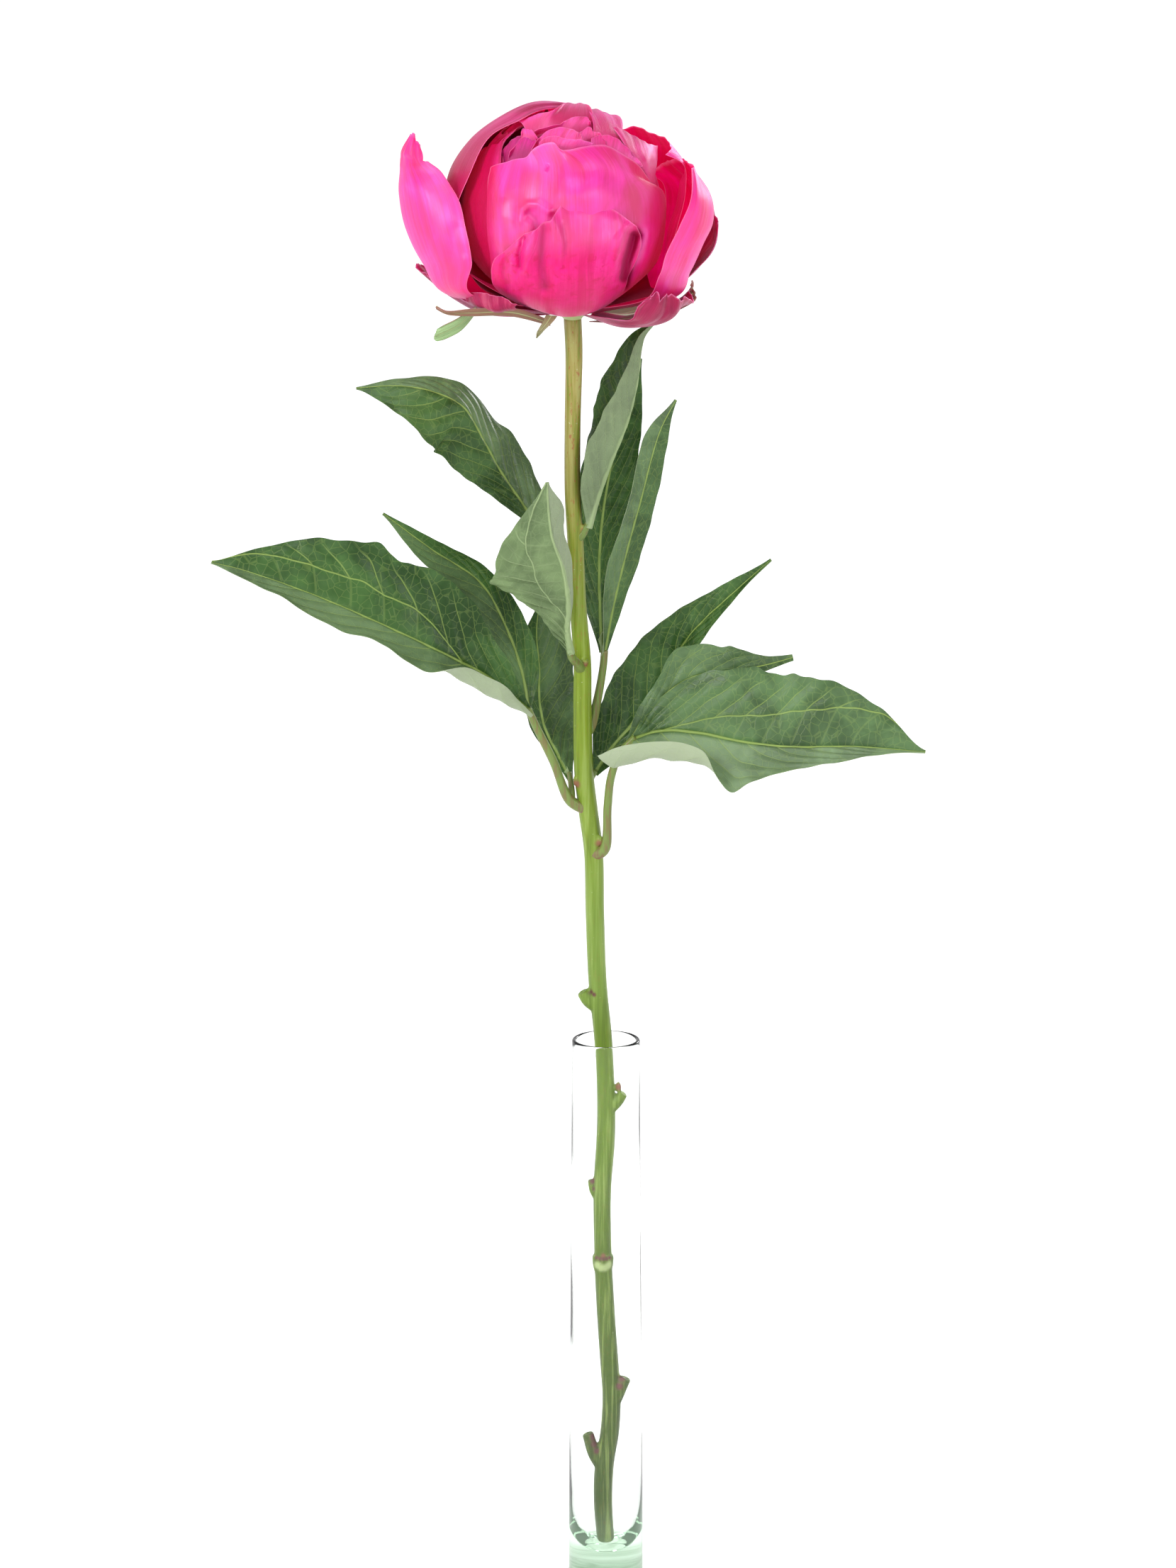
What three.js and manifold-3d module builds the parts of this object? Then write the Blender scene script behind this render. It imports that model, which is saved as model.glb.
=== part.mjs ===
// A half-open pink peony on its leafy stem, standing in a tall, narrow bud vase of clear glass.
// Millimetres, +Z up. The origin is the centre of the vase's flat foot, and the viewer stands at -Y.
// The vase is empty of water. The stem stands on the vase's rounded floor and leans on the back of its rim.
import * as THREE from "three";
import { mergeVertices } from "three/addons/utils/BufferGeometryUtils.js";
import Module from "manifold-3d";

const wasm = await Module();
wasm.setup();

// Driving sizes
const VASE_HEIGHT = 205;
const VASE_FOOT_RADIUS = 13.6;
const VASE_RIM_RADIUS = 12.3;
const VASE_WALL = 1.5;
const VASE_FLOOR = 11.8;
const LEAF_THICKNESS = 0.7;
const PETAL_THICKNESS = 0.8;
const FIT_GAP = 0.4;
const BLOOM_BASE = [-12, 0, 477];
const BALL_RADIUS = 40;
const BALL_HALF_HEIGHT = 37.5;
const BALL_CENTRE = 33.5;

// Colours
const GLASS = { color: 0xdfeee6, roughness: 0.03, metalness: 0, transparent: true, opacity: 0.35 };
const STEM_GREEN = { color: 0x86a24b, roughness: 0.55, metalness: 0 };
const LEAF_GREEN = { color: 0x4f7a45, roughness: 0.5, metalness: 0 };
const SEPAL_GREEN = { color: 0x8c9a5c, roughness: 0.55, metalness: 0 };
const PETAL_PINK = { color: 0xe8327d, roughness: 0.45, metalness: 0 };
const PETAL_CRIMSON = { color: 0xa81f4e, roughness: 0.5, metalness: 0 };

const vector = (p) => new THREE.Vector3(p[0], p[1], p[2]);
const degrees = (angle) => (angle * Math.PI) / 180;
const clamp = (x) => Math.min(1, Math.max(0, x));

// The value at share v of a list that is spread evenly from base to tip, on a smooth curve through its
// entries.
function along(list, v) {
  const place = clamp(v) * (list.length - 1);
  const i = Math.min(Math.floor(place), list.length - 2);
  const t = place - i;
  const mix = (a, b, c, d) =>
    b + 0.5 * t * (c - a + t * (2 * a - 5 * b + 4 * c - d + t * (3 * (b - c) + d - a)));
  const entry = (k) => list[Math.min(Math.max(k, 0), list.length - 1)];
  const four = [entry(i - 1), entry(i), entry(i + 1), entry(i + 2)];
  return Array.isArray(list[0]) ? list[0].map((_, k) => mix(...four.map((e) => e[k]))) : mix(...four);
}

// Solids

function solidOf(geometry) {
  const bare = new THREE.BufferGeometry().setAttribute("position", geometry.getAttribute("position"));
  bare.setIndex(geometry.index);
  const merged = mergeVertices(bare, 1e-4);
  return new wasm.Manifold(
    new wasm.Mesh({
      numProp: 3,
      vertProperties: new Float32Array(merged.attributes.position.array),
      triVerts: new Uint32Array(merged.index.array),
    }),
  );
}

function geometryOf(solid) {
  const mesh = solid.getMesh();
  const geometry = new THREE.BufferGeometry();
  geometry.setAttribute("position", new THREE.BufferAttribute(new Float32Array(mesh.vertProperties), 3));
  geometry.setIndex(new THREE.BufferAttribute(new Uint32Array(mesh.triVerts), 1));
  return geometry;
}

const joined = (solids) => solids.reduce((whole, solid) => whole.add(solid));

// The largest body of a solid, without needless small facets: a cut can leave scraps, which are dropped.
function tidied(solid, tolerance) {
  const bodies = solid.asOriginal().simplify(tolerance).decompose();
  return bodies.reduce((best, body) => (body.volume() > best.volume() ? body : best));
}

const evenly = (from, to, count) =>
  Array.from({ length: count + 1 }, (_, i) => from + ((to - from) * i) / count);

// A closed thin solid round a curved sheet. pointAt(s, v) gives the sheet, with s across it and v from base to
// tip, and it is taken at the listed values of each. Both faces are split into triangles alike.
function sheetSolid(pointAt, across, upward, thickness) {
  const columns = across.length - 1;
  const rows = upward.length - 1;
  const points = upward.flatMap((v) => across.map((s) => pointAt(s, v)));
  const wide = columns + 1;
  const at = (i, j) => points[j * wide + i];
  const normals = points.map((_, k) => {
    const i = k % wide;
    const j = Math.min(Math.floor(k / wide), rows - 1);
    const sideways = at(Math.min(i + 1, columns), j).clone().sub(at(Math.max(i - 1, 0), j));
    const up = at(i, j + 1).clone().sub(at(i, Math.max(j - 1, 0)));
    return sideways.cross(up).normalize();
  });
  const front = points.map((p, k) => p.clone().addScaledVector(normals[k], thickness / 2));
  const back = points.map((p, k) => p.clone().addScaledVector(normals[k], -thickness / 2));
  const position = [...front, ...back].flatMap((p) => [p.x, p.y, p.z]);
  const other = points.length;
  const index = [];
  for (let j = 0; j < rows; j++)
    for (let i = 0; i < columns; i++) {
      const a = j * wide + i;
      const [b, c, d] = [a + 1, a + wide + 1, a + wide];
      index.push(a, b, c, a, c, d);
      index.push(other + a, other + c, other + b, other + a, other + d, other + c);
    }
  const rim = [];
  for (let i = 0; i < columns; i++) rim.push(i);
  for (let j = 0; j < rows; j++) rim.push(j * wide + columns);
  for (let i = columns; i > 0; i--) rim.push(rows * wide + i);
  for (let j = rows; j > 0; j--) rim.push(j * wide);
  rim.forEach((a, k) => {
    const b = rim[(k + 1) % rim.length];
    index.push(a, other + a, other + b, a, other + b, b);
  });
  const geometry = new THREE.BufferGeometry();
  geometry.setAttribute("position", new THREE.BufferAttribute(new Float32Array(position), 3));
  geometry.setIndex(index);
  return solidOf(geometry);
}

// A tube of changing radius along a smooth line, closed at both ends.
function tubeSolid(line, radii, sides, rings) {
  const curve = new THREE.CatmullRomCurve3(line.map(vector), false, "centripetal");
  const frames = curve.computeFrenetFrames(rings, false);
  const position = [];
  const index = [];
  for (let j = 0; j <= rings; j++) {
    const centre = curve.getPointAt(j / rings);
    const radius = along(radii, j / rings);
    for (let i = 0; i < sides; i++) {
      const turn = (2 * Math.PI * i) / sides;
      const p = centre
        .clone()
        .addScaledVector(frames.normals[j], radius * Math.cos(turn))
        .addScaledVector(frames.binormals[j], radius * Math.sin(turn));
      position.push(p.x, p.y, p.z);
    }
  }
  for (let j = 0; j < rings; j++)
    for (let i = 0; i < sides; i++) {
      const [a, b] = [j * sides + i, j * sides + ((i + 1) % sides)];
      index.push(a, b, b + sides, a, b + sides, a + sides);
    }
  const last = rings * sides;
  for (let i = 1; i < sides - 1; i++) {
    index.push(0, i + 1, i);
    index.push(last, last + i, last + i + 1);
  }
  const geometry = new THREE.BufferGeometry();
  geometry.setAttribute("position", new THREE.BufferAttribute(new Float32Array(position), 3));
  geometry.setIndex(index);
  return solidOf(geometry);
}

function ballSolid(centre, radii, segments) {
  const geometry = new THREE.SphereGeometry(1, segments, Math.round(segments / 2));
  geometry.rotateX(Math.PI / 2);
  geometry.scale(radii[0], radii[1], radii[2]);
  geometry.translate(centre[0], centre[1], centre[2]);
  return solidOf(geometry);
}

// Vase: a drawn glass tube with a fire-polished rim, a thick foot and a floor rounded like a test tube's

function vaseGeometry() {
  const inner = VASE_RIM_RADIUS - VASE_WALL;
  const profile = [
    [0, 0],
    [VASE_FOOT_RADIUS - 1, 0],
    [VASE_FOOT_RADIUS - 0.2, 0.7],
    [VASE_FOOT_RADIUS, 2.5],
    [VASE_FOOT_RADIUS - 0.1, 35],
    [VASE_RIM_RADIUS + 0.6, VASE_HEIGHT * 0.55],
    [VASE_RIM_RADIUS, VASE_HEIGHT - 1],
    [VASE_RIM_RADIUS - 0.35, VASE_HEIGHT - 0.2],
    [VASE_RIM_RADIUS - VASE_WALL / 2, VASE_HEIGHT],
    [inner + 0.35, VASE_HEIGHT - 0.2],
    [inner, VASE_HEIGHT - 1],
    [inner + 0.5, VASE_HEIGHT * 0.55],
    [inner + 0.7, 50],
    [inner + 0.2, 34],
    [inner - 0.8, 24],
    [inner - 2.3, 18],
    [inner - 4.5, 14.4],
    [inner - 7, 12.6],
    [0, VASE_FLOOR],
  ];
  const geometry = new THREE.LatheGeometry(
    profile.map(([radius, height]) => new THREE.Vector2(radius, height)),
    36,
  );
  geometry.rotateX(Math.PI / 2);
  return geometry;
}

// Stem: its line, its stubs of cut leaf stalks, and the swollen joints and buds where leaves leave it

const STEM_LINE = [
  [0, -1, 13.5],
  [-1, -0.6, 30],
  [-0.5, -0.2, 44],
  [1.5, 0.3, 57],
  [2.2, 1, 70],
  [1.6, 1.5, 80],
  [0, 2.6, 102],
  [-1, 3.6, 121],
  [-1.2, 4.8, 147],
  [0, 5.6, 166],
  [0, 6.4, 184],
  [-1, 6.9, 203],
  [-3, 7.2, 224],
  [-4, 7.2, 250],
  [-4.5, 7, 273],
  [-6.5, 6.6, 289],
  [-8, 6.2, 303],
  [-8.5, 6, 329],
  [-8.5, 5.6, 343],
  [-10, 5, 364],
  [-11, 4, 388],
  [-12, 3.2, 407],
  [-12, 2.2, 432],
  [-11.5, 1, 458],
  [-12, 0, 471],
];
const STEM_RADII = [3.4, 3.45, 3.3, 3.2, 3.3, 3.25, 3.3, 3.4, 3.5, 3.3, 3.0, 2.9, 2.9, 3.2];

// Each stub is the foot of a leaf stalk that was cut off: a short peg out of the stem, from its root to its
// cut end.
const STUBS = [
  { line: [[0, -0.3, 42], [-4.2, -0.8, 48.5], [-6.6, -1, 56]], radii: [2.8, 2.4, 2.1] },
  { line: [[1.5, 0.8, 65], [4.8, 0.3, 71.5], [7.2, 0, 77]], radii: [2.6, 2.4, 2.0] },
  { line: [[-1, 4.8, 142.5], [-4.4, 5.3, 146.5], [-5.4, 5.6, 150.6]], radii: [2.2, 1.7, 1.4] },
  { line: [[0.8, 6.4, 177], [4.2, 5.8, 180], [6.4, 5.4, 183.2]], radii: [2.5, 2.1, 1.8] },
  { line: [[-3.2, 7.2, 215], [-6.4, 6.7, 217.6], [-8.4, 6.4, 220.8]], radii: [2.5, 2.4, 2.2] },
];
// The collar is the swollen joint where a stalk on the near side came off flush with the stem.
const COLLAR = {
  line: [[-1, 3.5, 115.5], [-1.05, 3.4, 119.5], [-1.05, 3.4, 122.4]],
  radii: [3.0, 3.7, 3.95],
};
// Buds sit in the angle above a leaf stalk.
const BUDS = [
  { at: [-2, 4, 278], radii: [1.2, 1.2, 2] },
  { at: [-10.6, 4.6, 300], radii: [1.3, 1.2, 2.2] },
  { at: [-7.6, 2.4, 344.5], radii: [1.3, 1.1, 1.5] },
  { at: [-8, 2.8, 393.5], radii: [1.4, 1.2, 1.7] },
];

function stemSolid() {
  const shaft = tubeSolid(STEM_LINE, STEM_RADII, 11, 36);
  const stubs = STUBS.map(({ line, radii }) => tubeSolid(line, radii, 8, 3));
  const collar = tubeSolid(COLLAR.line, COLLAR.radii, 12, 3);
  const buds = BUDS.map(({ at, radii }) => ballSolid(at, radii, 8));
  return joined([shaft, ...stubs, collar, ...buds]);
}

// Leaves. A blade runs along its midrib from base to tip. Each half is given by its widths from base to tip,
// the way that it points from the midrib, and how far it bends towards its upper face by the margin, in
// radians. A wave lifts and drops the margins.

function bladePoint(blade) {
  const curve = new THREE.CatmullRomCurve3(blade.midrib.map(vector), false, "centripetal");
  const [height, count, phase] = blade.wave;
  return (s, v) => {
    const tangent = curve.getTangentAt(v);
    const side = s < 0 ? blade.left : blade.right;
    const share = Math.abs(s);
    const width = Math.max(along(side.half, v), 0.5);
    const way = vector(along(side.to, v));
    way.addScaledVector(tangent, -way.dot(tangent)).normalize();
    const face = s < 0 ? tangent.clone().cross(way) : way.clone().cross(tangent);
    const bend = along(side.bend, v) || 1e-3;
    const swing = Math.sin(2 * Math.PI * count * v + phase + s);
    const wave = height * share * share * swing * Math.min(1, width / 10);
    return curve
      .getPointAt(v)
      .addScaledVector(way, (width * Math.sin(bend * share)) / bend)
      .addScaledVector(face, (width * (1 - Math.cos(bend * share))) / bend + wave);
  };
}

const LEAVES = {
  leaf_low_left: {
    stalks: [
      {
        line: [[-7, 6, 289], [-13, 4, 293], [-19, 2, 308], [-25, 0, 321], [-28, -1, 328]],
        radii: [2, 1.6, 1.5, 1.3],
      },
      { line: [[-12.5, 4.2, 292.5], [-12.4, 6.6, 296], [-13.2, 9.2, 302]], radii: [1.2, 1.1, 0.9] },
    ],
    blades: [
      {
        midrib: [
          [-27, -1, 327], [-43, -8, 342], [-54, -12, 349], [-78, -17, 362], [-105, -17, 374],
          [-130, -13, 382], [-141, -10, 384],
        ],
        left: {
          half: [2, 15, 19, 14, 14, 9, 0.5],
          to: [[-0.2, -0.75, -0.6], [-0.2, -0.9, -0.4], [-0.2, -0.85, -0.4]],
          bend: [2.2, 0.5, 0.3],
        },
        right: {
          half: [1, 11, 23, 25, 23, 14, 0.5],
          to: [[0.5, 0.45, 0.7], [0.35, 0.45, 0.85], [0.3, 0.4, 0.9]],
          bend: [0.3, 0.25, 0.2],
        },
        wave: [1.2, 3, 0],
      },
      {
        midrib: [
          [-27.6, -0.6, 327.4], [-30, 3, 340], [-36, 5, 357], [-45, 5, 373], [-63, 8, 385],
          [-80, 12, 397],
        ],
        left: {
          half: [0.6, 5, 7.6, 10, 8.4, 4.7, 0.5],
          to: [[-0.8, -0.5, -0.3], [-0.7, -0.6, -0.4], [-0.6, -0.6, -0.5]],
          bend: [0.6, 0.6, 0.3],
        },
        right: {
          half: [1, 7.5, 8, 6, 5, 3, 0.5],
          to: [[0.8, 0.6, 0.2], [0.7, 0.6, 0.5], [0.6, 0.5, 0.6]],
          bend: [0.3, 0.3, 0.2],
        },
        wave: [0.5, 2, 1],
      },
      {
        midrib: [
          [-12.5, 8.6, 299], [-17.4, 12, 308], [-22, 15, 317], [-24, 17, 327], [-24, 18, 338],
          [-25, 18, 352], [-24, 17, 363],
        ],
        left: {
          half: [1, 2.6, 5, 6, 6, 4, 0.5],
          to: [[-0.8, 0.2, 0], [-0.85, 0.3, 0], [-0.9, 0.3, 0]],
          bend: [0.4, 0.3, 0.2],
        },
        right: {
          half: [1, 8.4, 14, 15, 14, 10, 0.5],
          to: [[0.7, 0.6, 0], [0.75, 0.6, 0], [0.7, 0.6, 0]],
          bend: [0.3, 0.3, 0.2],
        },
        wave: [0.5, 2, 2],
      },
    ],
  },
  leaf_right_rear: {
    stalks: [
      { line: [[-7.5, 8.5, 294], [-6.5, 10.5, 297.5], [-4, 11.5, 302]], radii: [1.5, 1.3, 1.2] },
    ],
    blades: [
      {
        midrib: [
          [-4.3, 11.4, 301], [1.8, 13, 310], [8.7, 14, 318], [14.6, 15, 327], [20, 15, 336],
          [31, 13, 353], [47, 8, 370], [59, 3, 382],
        ],
        left: {
          half: [1.5, 12, 15, 13, 8, 4, 0.5],
          to: [[-0.8, 0.3, 0.5], [-0.75, 0.25, 0.6], [-0.6, 0.3, 0.7]],
          bend: [0.3, 0.2, 0.1],
        },
        right: {
          half: [1.5, 9.3, 11, 9.5, 6, 3, 0.5],
          to: [[0.7, -0.2, -0.6], [0.5, -0.7, -0.5], [0.3, -0.8, -0.4]],
          bend: [0.3, 0.4, 0.3],
        },
        wave: [0.8, 2.2, 0.5],
      },
    ],
  },
  leaf_low_right: {
    stalks: [
      {
        line: [
          [-4.5, 6, 272], [-0.5, 3.5, 275], [0.6, 2.5, 291], [1.8, 1.5, 302], [5, 1, 311],
          [10.2, 0, 317],
        ],
        radii: [2, 1.6, 1.5, 1.4, 1.3],
      },
    ],
    blades: [
      {
        midrib: [
          [8.2, 2, 315], [16.3, 4, 327], [26, 3, 336], [34, 2, 340], [47, 1, 342], [57, 0, 344],
          [67, -1, 347],
        ],
        left: {
          half: [1.2, 3.9, 6, 11, 9.4, 4, 1.2],
          to: [[-0.6, 0.4, 0.6], [-0.3, 0.4, 0.85], [0.1, 0.4, 0.9]],
          bend: [0.3, 0.3, 0.3],
        },
        right: {
          half: [0.6, 2, 5, 6, 4.5, 2.5, 1.2],
          to: [[0.5, -0.4, -0.6], [0.3, -0.4, -0.8], [0, -0.4, -0.9]],
          bend: [0.3, 0.3, 0.3],
        },
        wave: [1.1, 3, 1.5],
      },
      {
        midrib: [
          [10.2, 0, 317], [20, -5, 321], [34, -9, 321], [48, -13, 319], [65, -17, 318], [89, -21, 319],
          [114, -25, 318],
        ],
        left: {
          half: [1.5, 18, 26, 26, 24, 15, 0.5],
          to: [[-0.5, 0.5, 0.7], [0, 0.4, 0.9], [0.2, 0.3, 0.9]],
          bend: [0.3, 0.25, 0.15],
        },
        right: {
          half: [16, 28, 17, 16, 8.4, 4, 0.5],
          to: [[-0.2, -0.75, -0.6], [-0.1, -0.75, -0.65], [0, -0.9, -0.4]],
          bend: [2.4, 0.6, 0.2],
        },
        wave: [1.2, 3, 2.5],
      },
    ],
  },
  leaf_back: {
    stalks: [
      {
        line: [[-8, 7, 316], [-5.5, 9.5, 319], [-3, 10.5, 329], [-1, 10.5, 341], [-0.5, 9.6, 347]],
        radii: [1.8, 1.5, 1.3],
      },
    ],
    blades: [
      {
        midrib: [
          [-1.6, 11, 346], [-2.3, 16, 363], [-2.5, 19, 376], [-1.8, 20, 389], [0.2, 21, 404],
          [3.3, 22, 419], [7.4, 22, 435], [12.4, 20, 452],
        ],
        left: {
          half: [1, 6, 10, 11, 10, 6, 0.5],
          to: [[-0.8, 0.5, 0], [-0.85, 0.5, 0], [-0.85, 0.5, 0]],
          bend: [0.3, 0.3, 0.2],
        },
        right: {
          half: [0.8, 4, 7, 10, 9, 6, 0.5],
          to: [[0.8, 0.4, 0], [0.95, 0.2, 0], [0.95, 0.1, 0]],
          bend: [0.2, 0.2, 0.2],
        },
        wave: [0.5, 2, 0],
      },
      {
        midrib: [
          [-0.5, 9.4, 345], [2.3, 7, 362], [5.1, 6, 375], [8.6, 6, 389], [12.7, 7, 404], [16, 9, 417],
          [19.5, 11, 428], [25, 15, 438],
        ],
        left: {
          half: [0.8, 5, 8.5, 7, 5.5, 5, 0.5],
          to: [[-0.6, -0.5, 0], [-0.75, -0.6, 0.1], [-0.7, 0.1, 0.4]],
          bend: [0.3, 0.3, 0.3],
        },
        right: {
          half: [0.8, 4, 5.8, 6.4, 6.3, 4.6, 0.5],
          to: [[0.6, 0.7, 0], [0.75, 0.6, 0], [0.8, 0.5, 0]],
          bend: [0.3, 0.3, 0.2],
        },
        wave: [0.5, 2, 1.5],
      },
    ],
  },
  leaf_front: {
    stalks: [
      {
        line: [[-9, 5, 341.5], [-10, 1, 344], [-12.4, -4, 348], [-13.6, -8, 355]],
        radii: [2, 1.6, 1.4, 1.2],
      },
    ],
    blades: [
      {
        midrib: [
          [-12.6, -6, 350], [-14, -10, 359], [-13.7, -14, 370], [-15.7, -18, 384], [-19.5, -21, 396],
          [-21, -22, 411], [-21, -22, 416],
        ],
        left: {
          half: [0.8, 2, 4, 8.4, 12, 10, 0.5],
          to: [[0.8, 0.6, 0.1], [0.6, 0.8, 0], [0.7, 0.6, 0]],
          bend: [0.4, 0.6, 0.3],
        },
        right: {
          half: [1.2, 6.7, 16, 26, 21, 9.4, 0.5],
          to: [[-0.85, 0, -0.3], [-0.97, -0.1, -0.1], [-0.8, -0.1, 0.1]],
          bend: [0.2, 0.3, 0.3],
        },
        wave: [0.8, 1.5, 2],
      },
    ],
  },
  leaf_upper_left: {
    stalks: [{ line: [[-11, 4.6, 375], [-13.5, 4.6, 378], [-20, 4, 387]], radii: [1.7, 1.4, 1.1] }],
    blades: [
      {
        midrib: [
          [-19.6, 4, 386], [-28, 2, 400], [-38, -1, 416], [-44, -4, 428], [-51, -6, 440],
          [-62, -8, 446], [-74, -8, 448], [-89, -7, 447],
        ],
        left: {
          half: [1, 5, 11, 20, 22, 14, 0.5],
          to: [[-0.4, -0.6, -0.5], [-0.5, -0.5, -0.6], [-0.2, -0.7, -0.7]],
          bend: [0.2, 0.3, 0.2],
        },
        right: {
          half: [1, 11, 15, 12, 9, 5, 0.5],
          to: [[0.6, 0.7, 0.3], [0.3, 0.9, 0.2], [0.2, 0.8, 0.4]],
          bend: [0.2, 0.3, 0.2],
        },
        wave: [0.8, 3, 0],
      },
    ],
  },
  leaf_upper_right: {
    stalks: [{ line: [[-11.5, 3.8, 389], [-8.8, 2.6, 391], [-6.4, 2, 395.5]], radii: [1.7, 1.4, 1.1] }],
    blades: [
      {
        midrib: [
          [-6.4, 2, 394], [-3.3, 3, 405], [1, 4, 417], [6.5, 6, 430], [9.1, 8, 438], [11.1, 10, 447],
          [13.4, 14, 461], [17.5, 17, 466],
        ],
        left: {
          half: [1, 7.5, 11, 13, 13, 8.3, 0.5],
          to: [[-0.75, 0.6, 0.1], [-0.85, 0.5, 0.1], [-0.85, 0.3, 0.2]],
          bend: [0.1, 0.2, 0.2],
        },
        right: {
          half: [1, 9, 13, 12, 10, 5, 0.5],
          to: [[-0.6, -0.8, 0.1], [-0.55, -0.8, 0.1], [-0.4, -0.9, 0.1]],
          bend: [0.5, 0.5, 0.3],
        },
        wave: [0.5, 2, 1],
      },
    ],
  },
};

const bladeSolid = (blade) =>
  sheetSolid(bladePoint(blade), evenly(-1, 1, 6), evenly(0, 1, 11), LEAF_THICKNESS);

function leafSolid({ stalks, blades }) {
  return joined([
    ...stalks.map(({ line, radii }) => tubeSolid(line, radii, 7, 6)),
    ...blades.map((blade) => bladeSolid(blade)),
  ]);
}

// Bloom. A petal runs from the flower's base to its tip along a line of [distance from the axis, height], at
// a bearing round the axis: -90 is the front, 0 the right, 90 the back. Across, it is an arc of the given cup
// radius.

// A line that hugs the bud's ball at a given lift above it, between two polar angles counted from the ball's
// bottom. It sinks towards the ball near the top, where the petals fold in.
function ballLine(reach, lift, start = 40) {
  const line = [];
  for (let k = 0; k <= 5; k++) {
    const angle = start + ((reach - start) * k) / 5;
    const rise = lift * (1 - 0.6 * clamp((angle - 110) / 50));
    const across = (BALL_RADIUS + rise) * Math.sin(degrees(angle));
    line.push([across, BALL_CENTRE - (BALL_HALF_HEIGHT + rise) * Math.cos(degrees(angle))]);
  }
  return line;
}

function petalPoint(petal) {
  const curve = new THREE.CatmullRomCurve3(
    petal.line.map(([radius, height]) => new THREE.Vector3(radius, 0, height)),
    false,
    "centripetal",
  );
  const length = curve.getLength();
  const [depth, count, phase] = petal.wave ?? [0, 1, 0];
  return (s, v) => {
    const share = Math.abs(s);
    const dip = (petal.notch ?? 0) * Math.exp(-Math.pow((s - 0.1) / 0.14, 2));
    const ripple = 0.018 * Math.sin(9 * s + phase) * (petal.half > 14 ? 1 : 0.5);
    const top = 1 - petal.round * Math.pow(share, 2.4) - dip + ripple;
    const t = clamp(v * top);
    const beyond = (v * top - t) * length;
    const bearing = degrees(petal.bearing + (petal.skew ?? 0) * t);
    const out = new THREE.Vector3(Math.cos(bearing), Math.sin(bearing), 0);
    const placed = (p) => out.clone().multiplyScalar(p.x).setZ(p.z);
    const tangent = placed(curve.getTangentAt(t)).normalize();
    const side = new THREE.Vector3(-out.y, out.x, 0).applyAxisAngle(tangent, degrees(petal.twist ?? 0));
    const inward = tangent.clone().cross(side);
    const cup = along(petal.cup, t);
    const angle = (s * petal.half * along(petal.outline, t)) / cup;
    const wave = depth * Math.sin(count * Math.PI * s + phase) * v * v;
    return placed(curve.getPointAt(t))
      .addScaledVector(tangent, beyond)
      .addScaledVector(side, cup * Math.sin(angle))
      .addScaledVector(inward, cup * (1 - Math.cos(angle)) - wave)
      .add(vector(BLOOM_BASE));
  };
}

const petalSolid = (petal, columns = 7, rows = 6) =>
  sheetSolid(petalPoint(petal), evenly(-1, 1, columns), evenly(0, 1, rows), PETAL_THICKNESS);

// The room that a petal takes up, with the fit gap all round it.
function petalRoom(petal) {
  const wider = 1 + (1.5 * FIT_GAP) / petal.half;
  const longer = 0.012;
  const across = [-wider, ...evenly(-1, 1, 7), wider];
  const upward = [-longer, ...evenly(0, 1, 6), 1 + longer];
  return sheetSolid(petalPoint(petal), across, upward, PETAL_THICKNESS + 2 * FIT_GAP);
}

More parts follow.
